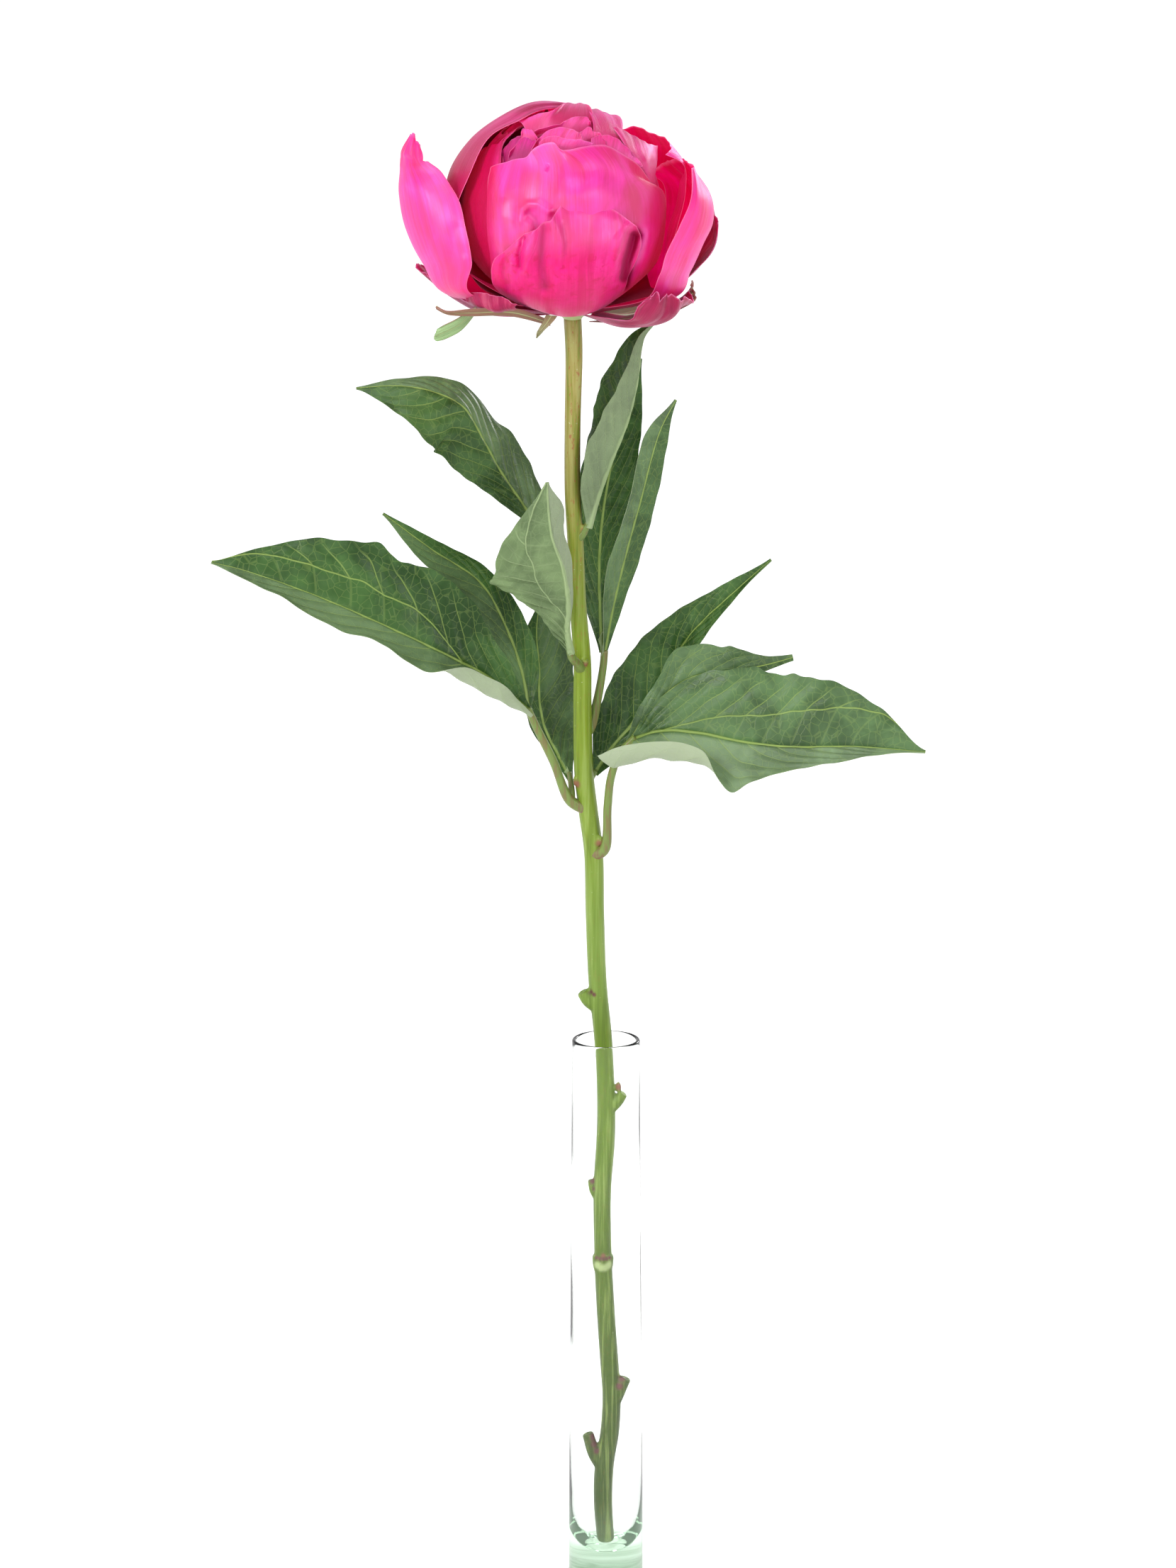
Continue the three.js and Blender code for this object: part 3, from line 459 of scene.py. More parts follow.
def petal_finish(name, tones, mottled=0.0, root=0.34, rim=0.3, gloss=1.0, glow=0.35, shaded_turns=(), painted_backlight=0.0):
    """Silky petal: streaks that fan out from its root, softer blotches, a deep root up to the given share of its
    length, partly its own colour and partly painted shade where other petals overlap it, and a slightly paler margin,
    partly its own and partly a painted highlight. Its folds are darkened with painted shade. The glow is how much
    light scatters in it, and painted_backlight how strongly it glows in its own colour: a painted glow that stands in
    for daylight coming through it from behind. Where the petal bends away from the light it gets deep and dull with
    painted shade: each of the shaded_turns is the share across where that begins, the one where it is full, and how
    far it goes."""
    body, deep, pale = tones
    finish = Finish(
        name, Roughness=0.4, IOR=1.66, Specular_IOR_Level=gloss, Specular_Tint=(1.0, 0.5, 1.0),
        Subsurface_Weight=glow, Subsurface_Scale=1.0, Subsurface_Radius=(0.0030, 0.0004, 0.0010),
        Sheen_Weight=0.15, Sheen_Roughness=0.4, Sheen_Tint=(1.0, 0.5, 0.9),
    )
    across, up, seed = finish.field("petal", "Vector").parts()
    flat = finish.field("flat", "Vector")
    fan = finish.vector(across * 16.0, up * 1.6, seed)
    broad = fan.noise(0.55, 3.0, 0.5)
    streaks = fan.noise(3.2, 4.0, 0.6, 0.3)
    mood = broad * 0.5 + flat.noise(0.05, 3.0, 0.55, 0.5) * 0.7
    tone = mood.fade(0.46, 0.78).mix(body, deep)
    tone = mood.fade(0.56, 0.36, 0.0, 0.65).mix(tone, pale)
    tone = streaks.fade(0.46, 0.74, 0.0, 0.28).mix(tone, deep)
    tone = streaks.fade(0.5, 0.28, 0.0, 0.2).mix(tone, pale)
    dull = fold = finish.field("fold")
    if mottled:
        # Towards the bottom the petal gets redder, blotched and less glossy.
        lower_part = up.fade(0.92, 0.6) * mottled
        tone = (lower_part * 0.7).mix(tone, (0.76, 0.005, 0.15))
        tone = broad.fade(0.5, 0.66, 0.0, 0.8 * mottled).mix(tone, (0.56, 0.001, 0.08))
        tone = (lower_part * flat.noise(0.5, 2.0, 0.5, 0.4).fade(0.46, 0.62, 0.0, 0.5)).mix(tone, deep)
        tone = (lower_part * flat.noise(0.3, 2.0, 0.5, 0.5).fade(0.55, 0.66)).mix(tone, (0.56, 0.001, 0.06))
        dull = fold.most(lower_part * 1.1)
    # Deeper towards the root: partly the petal's own base colour, partly painted shade where other petals overlap it.
    tone = up.fade(root, root - 0.3, 0.0, 0.8).mix(tone, deep)
    # Painted shade where the petal bends away from the light: its deep colour and less gloss.
    for start, end, amount in shaded_turns:
        turned = across.fade(start, end, 0.0, amount)
        tone = turned.mix(tone, deep)
        dull = dull.most(turned)
    if shaded_turns or mottled:
        finish.done(Specular_IOR_Level=dull.fade(0.0, 1.0, gloss, 0.15 * gloss))
    # Painted shade in the folds: the colour is darkened where the creases push the petal in.
    tone = fold.mix(tone, (0.5 * deep[0], 0.3 * deep[1], 0.5 * deep[2]))
    # A paler margin: partly the petal's own paler edge, partly a painted highlight along it.
    tone = abs(across).most(up).fade(0.965, 1.0, 0.0, rim).mix(tone, (0.95, 0.3, 0.55))
    # A painted glow: the petal emits its own colour, standing in for light shining through it from behind.
    if painted_backlight:
        finish.done(Emission_Color=tone, Emission_Strength=painted_backlight)
    relief = streaks * 0.6 + broad * 0.6
    return finish.done(Base_Color=tone, Roughness=streaks.fade(0.2, 0.8, 0.38, 0.5), Normal=relief.bump(0.00016))


def sepal_finish():
    finish = Finish("sepal", Roughness=0.48, Specular_IOR_Level=0.45, Subsurface_Weight=0.05)
    across, up, seed = finish.field("petal", "Vector").parts()
    streaks = finish.vector(across * 9.0, up * 1.5, seed).noise(1.2, 4.0, 0.6)
    green = streaks.mix((0.14, 0.28, 0.08), (0.36, 0.5, 0.24))
    crimson = streaks.mix((0.16, 0.05, 0.03), (0.33, 0.09, 0.08))
    body = (seed.math("FRACT") + streaks * 0.3).fade(0.45, 0.85).mix(green, crimson)
    body = across.line(0.1).mix(body, (0.4, 0.46, 0.2))
    body = abs(across).fade(0.8, 1.0, 0.0, 0.7).mix(body, (0.3, 0.1, 0.1))
    return finish.done(Base_Color=body, Normal=streaks.bump(0.0003))


# Materials of the stem and the vase. Heights are in metres.


def stem_finish():
    finish = Finish(
        "stem", Roughness=0.4, Specular_IOR_Level=0.3, Subsurface_Weight=0.05, Subsurface_Radius=(0.0015, 0.002, 0.0006)
    )
    spot = finish.place()
    height = spot.parts()[2]
    fibre = spot.scaled(700, 700, 22).noise(1.0, 4.0, 0.6)
    body = height.fade(0.02, 0.2).mix((0.024, 0.048, 0.001), (0.10, 0.17, 0.008))
    body = height.fade(0.198, 0.222).mix(body, (0.15, 0.24, 0.035))
    body = height.fade(0.22, 0.34).mix(body, (0.18, 0.26, 0.014))
    body = (height.fade(0.35, 0.43) * fibre.fade(0.35, 0.6, 0.35, 1.0)).mix(body, (0.31, 0.235, 0.07))
    body = fibre.fade(0.45, 0.7, 0.0, 0.4).mix(body, (0.36, 0.46, 0.14))
    body = fibre.fade(0.5, 0.3, 0.0, 0.45).mix(body, (0.07, 0.11, 0.012))
    fleck = spot.scaled(1400, 1400, 420).noise(1.0, 2.0, 0.5).fade(0.6, 0.7)
    body = (fleck * height.fade(0.3, 0.45, 0.12, 0.8)).mix(body, (0.3, 0.1, 0.04))
    body = spot.noise(900.0, 2.0).fade(0.72, 0.78, 0.0, 0.6).mix(body, (0.55, 0.62, 0.4))
    flush, scar, pale = finish.field("marks", "Vector").parts()
    body = (pale * 0.7).mix(body, (0.44, 0.52, 0.25))
    body = (flush * 0.8).mix(body, (0.24, 0.06, 0.055))
    body = scar.mix(body, fibre.mix((0.06, 0.016, 0.02), (0.16, 0.06, 0.055)))
    return finish.done(Base_Color=body, Roughness=fibre.fade(0.2, 0.8, 0.34, 0.5), Normal=fibre.bump(0.0002))


def glass_finish():
    """Clear glass, faintly green where it is thick, with green streaks and a faint painted glow in the foot, standing
    in for light caught there.
    """
    finish = Finish(
        "glass", Base_Color=(1, 1, 1), Roughness=0.0, IOR=1.5, Transmission_Weight=1.0, Specular_Tint=(0.4, 0.4, 0.42),
        Emission_Color=(0.6, 0.72, 0.6),
    )
    spot = finish.place()
    height = spot.parts()[2]
    ripple = spot.scaled(60, 60, 14).noise(1.0, 2.0, 0.5)
    bands = spot.scaled(45, 45, 420).noise(1.0, 3.0, 0.6, 0.6).fade(0.4, 0.62)
    foot = bands.mix((0.50, 0.57, 0.50), (0.28, 0.36, 0.27))
    tint = finish.node("VolumeAbsorption", {"Color": (0.45, 0.78, 0.52), "Density": 24.0})
    finish.feed(finish.tree.nodes["Material Output"].inputs["Volume"], tint)
    return finish.done(
        Base_Color=height.fade(0.0125, 0.0095).mix((1, 1, 1), foot),
        # A painted glow: the foot emits a little light of its own.
        Emission_Strength=height.fade(0.036, 0.014, 0.0, 0.07),
        Normal=ripple.bump(0.0005, 0.5),
    )


def floor_finish():
    finish = Finish(
        "floor", Base_Color=(0.4, 0.4, 0.4), Roughness=0.9, Specular_IOR_Level=0.1, Emission_Color=(1, 1, 1),
        Emission_Strength=0.86,
    )
    return finish.done(Roughness=finish.place().noise(3.0, 2.0).fade(0.0, 1.0, 0.85, 0.95))


# Vase: a wall outside and one inside, joined by a fire-polished rim, on a thick foot with a rounded edge


def make_vase():
    inner = VASE_RIM_RADIUS - VASE_WALL
    corner = 1.6
    lip = VASE_WALL / 2
    wall = [
        [VASE_FOOT_RADIUS, 0, corner], [VASE_FOOT_RADIUS - 0.1, 0, 35],
        [VASE_RIM_RADIUS + 0.6, 0, VASE_HEIGHT * 0.55], [VASE_RIM_RADIUS, 0, VASE_HEIGHT - lip],
    ]
    inside = [
        [inner, 0, VASE_HEIGHT - lip], [inner + 0.5, 0, VASE_HEIGHT * 0.55], [inner + 0.7, 0, 50],
        [inner + 0.2, 0, 34], [inner - 0.8, 0, 24], [inner - 2.3, 0, 18], [inner - 4.5, 0, 14.4],
        [inner - 7, 0, 12.6], [0.3, 0, VASE_FLOOR],
    ]
    turn = np.linspace(-math.pi / 2, 0, 8)
    foot = [[VASE_FOOT_RADIUS - corner * (1 - math.cos(a)), 0, corner * (1 + math.sin(a))] for a in turn]
    turn = np.linspace(0, math.pi, 14)[1:-1]
    middle = VASE_RIM_RADIUS - lip
    rim = [[middle + lip * math.cos(a), 0, VASE_HEIGHT - lip + lip * math.sin(a)] for a in turn]
    up = Line(wall).at(np.linspace(0, 1, 90))[1:]
    down = Line(inside).at(np.linspace(0, 1, 130))
    base = [[r, 0, 0] for r in (0.3, 4, 8, 11)]
    profile = np.vstack([base, foot, up, rim, down])
    is_inside = np.arange(len(profile)) >= len(profile) - len(down)
    sides = 144
    angle = np.arange(sides) / sides * TURN
    height = profile[:, 2][:, None]
    # The bore is a little uneven, as drawn glass is, but not near the floor or the rim.
    uneven = 0.1 * np.sin(3 * angle + height / 19) * np.sin(height / 24 + 1) * smooth_step((height - 20) / 20)
    uneven = uneven * smooth_step((VASE_HEIGHT - 4 - height) / 30)
    radius = profile[:, 0][:, None] + np.where(is_inside[:, None], uneven, 0)
    rings = np.stack([radius * np.cos(angle), radius * np.sin(angle), np.broadcast_to(height, radius.shape)], -1)
    patch = ringed_patch(rings, [[0, 0, 0], [0, 0, VASE_FLOOR]])
    vase = make_mesh("vase_glass", [patch], [glass_finish()])
    vase.visible_shadow = False
    dress(vase, "vase_glass", "vase")


# Stem

STEM_LINE = [
    [0, -1, 13.5], [-1, -0.6, 30], [-0.5, -0.2, 44], [1.5, 0.3, 57], [2.2, 1, 70], [1.6, 1.5, 80],
    [0, 2.6, 102], [-1, 3.6, 121], [-1.2, 4.8, 147], [0, 5.6, 166], [0, 6.4, 184], [-1, 6.9, 203],
    [-3, 7.2, 224], [-4, 7.2, 250], [-4.5, 7, 273], [-6.5, 6.6, 289], [-8, 6.2, 303], [-8.5, 6, 329],
    [-8.5, 5.6, 343], [-10, 5, 364], [-11, 4, 388], [-12, 3.2, 407], [-12, 2.2, 432], [-11.5, 1, 458],
    [-12, 0, 471],
]
STEM_RADII = [3.4, 3.45, 3.3, 3.2, 3.3, 3.25, 3.3, 3.4, 3.5, 3.3, 3.0, 2.9, 2.9, 3.2]
# Each stub is the foot of a leaf stalk that was cut off: a peg with a dished end, from its root to its cut end.
STUBS = [
    dict(line=[[0, -0.3, 42], [-4.2, -0.8, 48.5], [-6.6, -1, 56]], radii=[2.8, 2.4, 2.1]),
    dict(line=[[1.5, 0.8, 65], [4.8, 0.3, 71.5], [7.2, 0, 77]], radii=[2.6, 2.4, 2.0]),
    dict(line=[[-1, 4.8, 142.5], [-4.4, 5.3, 146.5], [-5.4, 5.6, 150.6]], radii=[2.2, 1.7, 1.4]),
    dict(line=[[0.8, 6.4, 177], [4.2, 5.8, 180], [6.4, 5.4, 183.2]], radii=[2.5, 2.1, 1.8]),
    dict(line=[[-3.2, 7.2, 215], [-6.4, 6.7, 217.6], [-8.4, 6.4, 220.8]], radii=[2.5, 2.4, 2.2]),
]
# How deep the cut ends are dished
DISH = 0.9
# A collar is what a leaf stalk that ran round the stem left behind.
COLLAR = dict(line=[[-1, 3.5, 115.5], [-1.05, 3.4, 119.5], [-1.05, 3.4, 122.4]], radii=[3.0, 3.7, 3.95])
# Buds sit in the angle above a leaf stalk. They are given by their middle, radius and half height.
BUDS = [
    ([-2, 4, 278], 1.2, 2), ([-10.6, 4.6, 300], 1.3, 2.2), ([-7.6, 2.4, 344.5], 1.3, 1.5),
    ([-8, 2.8, 393.5], 1.4, 1.7), ([4.6, 4.8, 185.6], 1.1, 2.2),
]
# Marks on the skin, as places with their reach: pink flushes at the joints, brown scars, and pale patches
FLUSHES = [
    [-2.4, 3.2, 277, 2.2], [-10.8, 3.8, 299, 2.4], [-7.4, 1.8, 343.6, 1.9], [-7.8, 2.2, 392.6, 2.2],
    [4.8, 4.2, 186, 2.0], [-1, 0, 123.4, 1.4],
]
SCARS = [
    [-4.5, -2.3, 55.2, 2.2], [-4.0, -2.7, 52.6, 2.1], [-3.3, -2.9, 50, 1.7], [5.8, -1.5, 77.4, 2.2],
    [5, -1.8, 74.4, 2.0], [-1.05, -0.4, 122.2, 1.1], [-3.3, 0.6, 122.4, 1.1], [1.3, 0.6, 122.4, 1.1],
    [-2.2, -0.1, 122.2, 1.1], [0.2, -0.1, 122.2, 1.1], [-4.8, 4.6, 150.4, 1.9], [-4, 4, 147.6, 1.5],
    [-5.6, 4.6, 221.2, 1.5], [-4.4, 4.2, 220.4, 1.3], [0, -1, 13.2, 2.6],
]
SHIELDS = [[-3, 0.4, 119.6, 2.2], [-1.8, -0.2, 118.8, 2.2], [-0.2, -0.2, 118.8, 2.2], [1, 0.4, 119.6, 2.2]]


def near(places, spots):
    """For each place, 1 at the nearest of the spots, fading to 0 at its reach."""
    share = np.zeros(len(places))
    for *centre, reach in spots:
        away = np.linalg.norm(places - np.array(centre), axis=1)
        share = np.maximum(share, smooth_step(1.4 * (1 - away / reach)))
    return share


def make_stem():
    """The stem with its stubs, collar and buds grown into one skin, dished ends and marks."""
    patches = [tube_patch(STEM_LINE, STEM_RADII, 32, 420, ribs=0.02)]
    patches += [tube_patch(stub["line"], stub["radii"], 24, 16) for stub in [*STUBS, COLLAR]]
    patches += [ball_patch(*bud, 20, 14) for bud in BUDS]
    stem = make_mesh("stem_skin", patches, [])
    skin = stem.modifiers.new("skin", "REMESH")
    skin.mode = "VOXEL"
    skin.voxel_size = STEM_CELL * MM
    soft = stem.modifiers.new("soft", "SMOOTH")
    soft.factor = 0.5
    soft.iterations = 3
    bpy.context.view_layer.update()
    graph = bpy.context.evaluated_depsgraph_get()
    mesh = bpy.data.meshes.new_from_object(stem.evaluated_get(graph), depsgraph=graph)
    stem.modifiers.clear()
    stem.data = mesh
    places = np.zeros(len(mesh.vertices) * 3, np.float32)
    mesh.vertices.foreach_get("co", places)
    places = places.reshape(-1, 3) / MM
    for stub in STUBS:
        line, radius = Line(stub["line"]), stub["radii"][-1]
        tip, way = line.at(1.0), line.tangent(1.0)
        offset = places - tip
        height = offset @ way
        aside = np.linalg.norm(offset - height[:, None] * way, axis=1)
        sunk = DISH * smooth_step(1 - aside / radius) * (height > -0.8) * (aside < radius)
        places = places - way * sunk[:, None]
    fill(mesh.vertices, "co", places * MM)
    add_field(mesh, "marks", np.stack([near(places, spots) for spots in (FLUSHES, SCARS, SHIELDS)], 1))
    mesh.materials.clear()
    mesh.materials.append(stem_finish())
    mesh.shade_smooth()
    dress(stem, "stem_green", "stem")


# Leaves


def half(widths, bend, to, roll=(0, 0), lobe=(0, 0)):
    """One half of a blade: its widths from base to tip, how far it bends towards its upper face by the margin, in
    radians, and the way that it points from the midrib. A roll is the share of the half that stays flat before it
    bends, and a lobe is how far its margin reaches back past the base."""
    return dict(width=widths, bend=bend, to=to, roll=roll, lobe=lobe)


def blade(midrib, left, right, wave, count=11, sweep=0.26, **marks):
    """A blade runs along its midrib from base to tip, and its wave lifts and drops the margins. count is the number of
    side veins, and sweep how far they run towards the tip. Marks are a strong side vein, as its half (-1 left, 1 right)
    and its shares of the half width from base to tip, bumps of a margin, as half, share of the length, size and reach,
    and wax and wrinkle, which are how pale and how wrinkled the left and the right half are. The paleness is
    partly a waxy bloom and partly painted sheen on a half that catches the light."""
    return dict(midrib=midrib, left=left, right=right, wave=wave, count=count, sweep=sweep, **marks)


LEAVES = dict(
    leaf_low_left=dict(
        stalks=[
            dict(line=[[-7, 6, 289], [-13, 4, 293], [-19, 2, 308], [-25, 0, 321], [-28, -1, 328]],
                radii=[2, 1.6, 1.5, 1.3]),
            dict(line=[[-12.5, 4.2, 292.5], [-12.4, 6.6, 296], [-13.2, 9.2, 302]], radii=[1.2, 1.1, 0.9]),
        ],
        blades=[
            blade(
                [[-27, -1, 327], [-43, -8, 342], [-54, -12, 349], [-78, -17, 362], [-105, -17, 374],
                 [-130, -13, 382], [-141, -10, 384]],
                half([5, 18, 18, 14, 14, 9, 0.5], [2.5, 2.6, 2.4, 0.4, 0.3, 0.3, 0.3, 0.3, 0.3],
                     [[-0.2, -0.75, -0.6], [-0.2, -0.9, -0.4], [-0.2, -0.85, -0.4]],
                     roll=[0.3, 0.34, 0.3, 0, 0, 0, 0, 0, 0]),
                half([1, 11, 23, 25, 23, 14, 0.5], [0.3, 0.25, 0.2],
                     [[0.5, 0.45, 0.7], [0.35, 0.45, 0.85], [0.3, 0.4, 0.9]]),
                wave=[1.2, 3, 0], count=10, sweep=0.24,
                strong=(1, [-0.6, -0.4, -0.15, 0.15, 0.36, 0.42, 0.43, 0.46, 0.55, 0.8, 1.1]),
                bumps=[(1, 0.6, 0.06, 0.03), (1, 0.525, -0.05, 0.02), (-1, 0.5, 0.05, 0.02)], wax=(0.42, 0.0),
            ),
            blade(
                [[-27.6, -0.6, 327.4], [-30, 3, 340], [-36, 5, 357], [-45, 5, 373], [-63, 8, 385],
                 [-80, 12, 397]],
                half([0.6, 5, 8.8, 11.6, 10, 5.6, 0.5], [0.6, 0.6, 0.3],
                     [[-0.8, -0.5, -0.3], [-0.7, -0.6, -0.4], [-0.6, -0.6, -0.5]]),
                half([1, 7.5, 8, 6, 5, 3, 0.5], [0.3, 0.3, 0.2],
                     [[0.8, 0.6, 0.2], [0.7, 0.6, 0.5], [0.6, 0.5, 0.6]]),
                wave=[0.5, 2, 1], count=9, sweep=0.28, wax=(0.25, 0.0),
            ),
            blade(
                [[-12.5, 8.6, 299], [-17.4, 12, 308], [-22, 15, 317], [-24, 17, 327], [-24, 18, 338],
                 [-25, 18, 352], [-24, 17, 363]],
                half([1, 2.6, 5, 6, 6, 4, 0.5], [0.4, 0.3, 0.2],
                     [[-0.8, 0.2, 0], [-0.85, 0.3, 0], [-0.9, 0.3, 0]]),
                half([1, 8.4, 14, 15, 14, 10, 0.5], [0.3, 0.3, 0.2],
                     [[0.7, 0.6, 0], [0.75, 0.6, 0], [0.7, 0.6, 0]]),
                wave=[0.5, 2, 2], count=9, wax=(0.0, 0.25),
            ),
        ],
    ),
    leaf_right_rear=dict(
        stalks=[
            dict(line=[[-7.5, 8.5, 294], [-6.5, 10.5, 297.5], [-4, 11.5, 302]], radii=[1.5, 1.3, 1.2]),
        ],
        blades=[
            blade(
                [[-4.3, 11.4, 301], [1.8, 13, 310], [8.7, 14, 318], [14.6, 15, 327], [20, 15, 336],
                 [31, 13, 353], [47, 8, 370], [59, 3, 382]],
                half([1.5, 12, 15, 13, 8, 4, 0.5], [0.3, 0.2, 0.1],
                     [[-0.8, 0.3, 0.5], [-0.75, 0.25, 0.6], [-0.6, 0.3, 0.7]]),
                half([1.5, 9.3, 11, 9.5, 6, 3, 0.5], [0.3, 0.4, 0.3],
                     [[0.7, -0.2, -0.6], [0.5, -0.7, -0.5], [0.3, -0.8, -0.4]]),
                wave=[0.8, 2.2, 0.5],
            ),
        ],
    ),
    leaf_low_right=dict(
        stalks=[
            dict(line=[[-4.5, 6, 272], [-0.5, 3.5, 275], [0.6, 2.5, 291], [1.8, 1.5, 302], [5, 1, 311],
                      [10.2, 0, 317]],
                radii=[2, 1.6, 1.5, 1.4, 1.3]),
        ],
        blades=[
            blade(
                [[8.2, 2, 315], [16.3, 4, 327], [26, 3, 336], [34, 2, 340], [47, 1, 342], [57, 0, 344],
                 [67, -1, 347]],
                half([1.2, 3.9, 6, 11, 9.4, 4, 1.2], [0.3, 0.3, 0.3],
                     [[-0.6, 0.4, 0.6], [-0.3, 0.4, 0.85], [0.1, 0.4, 0.9]]),
                half([0.6, 2, 5, 6, 4.5, 2.5, 1.2], [0.3, 0.3, 0.3],
                     [[0.5, -0.4, -0.6], [0.3, -0.4, -0.8], [0, -0.4, -0.9]]),
                wave=[1.1, 3, 1.5], count=8, sweep=0.3, bumps=[(-1, 0.42, 0.16, 0.07), (-1, 0.63, -0.14, 0.04)],
                wax=(0.25, 0.1),
            ),
            blade(
                [[10.2, 0, 317], [20, -5, 321], [34, -9, 321], [48, -13, 319], [65, -17, 318], [89, -21, 319],
                 [114, -25, 318]],
                half([1.5, 18, 26, 26, 24, 15, 0.5], [0.3, 0.25, 0.15],
                     [[-0.5, 0.5, 0.7], [0, 0.4, 0.9], [0.2, 0.3, 0.9]]),
                half([27, 25, 22.5, 13.7, 8, 4.5, 0.5], [2.1, 2.5, 2.6, 0.6, 0.3, 0.2, 0.2, 0.2, 0.2],
                     [[-0.4, -0.6, -0.7], [-0.1, -0.6, -0.75], [0, -0.7, -0.65], [0, -0.9, -0.4]],
                     roll=[0.3, 0.3, 0.34, 0.2, 0, 0, 0, 0, 0], lobe=[5, 2, -3, -2, 0, 0, 0, 0, 0]),
                wave=[1.2, 3, 2.5], count=10, sweep=0.3,
                strong=(-1, [-0.3, 0, 0.15, 0.3, 0.36, 0.45, 0.52, 0.6, 0.78, 1, 1.2]),
                bumps=[(1, 0.385, 0.1, 0.03)], wax=(0.18, 0.62),
            ),
        ],
    ),
    leaf_back=dict(
        stalks=[
            dict(line=[[-8, 7, 316], [-5.5, 9.5, 319], [-3, 10.5, 329], [-1, 10.5, 341], [-0.5, 9.6, 347]],
                radii=[1.8, 1.5, 1.3]),
        ],
        blades=[
            blade(
                [[-1.6, 11, 346], [-2.3, 16, 363], [-2.5, 19, 376], [-1.8, 20, 389], [0.2, 21, 404],
                 [3.3, 22, 419], [7.4, 22, 435], [12.4, 20, 452]],
                half([1, 6, 10, 11, 10, 6, 0.5], [0.3, 0.3, 0.2],
                     [[-0.8, 0.5, 0], [-0.85, 0.5, 0], [-0.85, 0.5, 0]]),
                half([0.8, 4, 7, 10, 9, 6, 0.5], [0.2, 0.2, 0.2],
                     [[0.8, 0.4, 0], [0.95, 0.2, 0], [0.95, 0.1, 0]]),
                wave=[0.5, 2, 0], count=10, sweep=0.3,
            ),
            blade(
                [[-0.5, 9.4, 345], [2.3, 7, 362], [5.1, 6, 375], [8.6, 6, 389], [12.7, 7, 404], [16, 9, 417],
                 [19.5, 11, 428], [25, 15, 438]],
                half([0.8, 5, 8.5, 7, 5.5, 5, 0.5], [0.3, 0.3, 0.3],
                     [[-0.6, -0.5, 0], [-0.75, -0.6, 0.1], [-0.7, 0.1, 0.4]]),
                half([0.8, 4, 5.8, 6.4, 6.3, 4.6, 0.5], [0.3, 0.3, 0.2],
                     [[0.6, 0.7, 0], [0.75, 0.6, 0], [0.8, 0.5, 0]]),
                wave=[0.5, 2, 1.5], wax=(0.35, 0.12),
            ),
        ],
    ),
    leaf_front=dict(
        stalks=[
            dict(line=[[-9, 5, 341.5], [-10, 1, 344], [-12.4, -4, 348], [-13.6, -8, 355]],
                radii=[2, 1.6, 1.4, 1.2]),
        ],
        blades=[
            blade(
                [[-12.6, -6, 350], [-14, -10, 359], [-13.7, -14, 370], [-15.7, -18, 384], [-19.5, -21, 396],
                 [-21, -22, 411], [-21, -22, 416]],
                half([0.8, 2, 4, 8.4, 12, 10, 0.5], [0.4, 0.6, 0.3],
                     [[0.8, 0.6, 0.1], [0.6, 0.8, 0], [0.7, 0.6, 0]]),
                half([1.2, 6.7, 16, 26, 21, 9.4, 0.5], [0.2, 0.3, 0.3],
                     [[-0.85, 0, -0.3], [-0.97, -0.1, -0.1], [-0.8, -0.1, 0.1]]),
                wave=[0.8, 1.5, 2], count=9, sweep=0.2,
                strong=(1, [-0.4, -0.2, 0, 0.3, 0.4, 0.38, 0.4, 0.5, 0.6, 0.75, 0.9]), wax=(0.34, 0.0),
                wrinkle=(0.0, 0.45),
            ),
        ],
    ),
    leaf_upper_left=dict(
        stalks=[
            dict(line=[[-11, 4.6, 375], [-13.5, 4.6, 378], [-20, 4, 387]], radii=[1.7, 1.4, 1.1]),
        ],
        blades=[
            blade(
                [[-19.6, 4, 386], [-28, 2, 400], [-38, -1, 416], [-44, -4, 428], [-51, -6, 440], [-62, -8, 446],
                 [-74, -8, 448], [-89, -7, 447]],
                half([1, 5, 11, 20, 22, 14, 0.5], [0.2, 0.3, 0.2],
                     [[-0.4, -0.6, -0.5], [-0.5, -0.5, -0.6], [-0.2, -0.7, -0.7]]),
                half([1, 11, 15, 12, 9, 5, 0.5], [0.2, 0.3, 0.2],
                     [[0.6, 0.7, 0.3], [0.3, 0.9, 0.2], [0.2, 0.8, 0.4]]),
                wave=[0.8, 3, 0], wax=(0.05, 0.35),
            ),
        ],
    ),
    leaf_upper_right=dict(
        stalks=[
            dict(line=[[-11.5, 3.8, 389], [-8.8, 2.6, 391], [-6.4, 2, 395.5]], radii=[1.7, 1.4, 1.1]),
        ],
        blades=[
            blade(
                [[-6.4, 2, 394], [-3.3, 3, 405], [1, 4, 417], [6.5, 6, 430], [9.1, 8, 438], [11.1, 10, 447],
                 [13.4, 14, 461], [17.5, 17, 466]],
                half([1, 7.5, 11, 13, 13, 8.3, 0.5], [0.1, 0.2, 0.2],
                     [[-0.75, 0.6, 0.1], [-0.85, 0.5, 0.1], [-0.85, 0.3, 0.2]]),
                half([1, 9, 13, 12, 10, 5, 0.5], [0.5, 0.5, 0.3],
                     [[-0.6, -0.8, 0.1], [-0.55, -0.8, 0.1], [-0.4, -0.9, 0.1]]),
                wave=[0.5, 2, 1], wax=(0.0, 0.14),
            ),
        ],
    ),
)


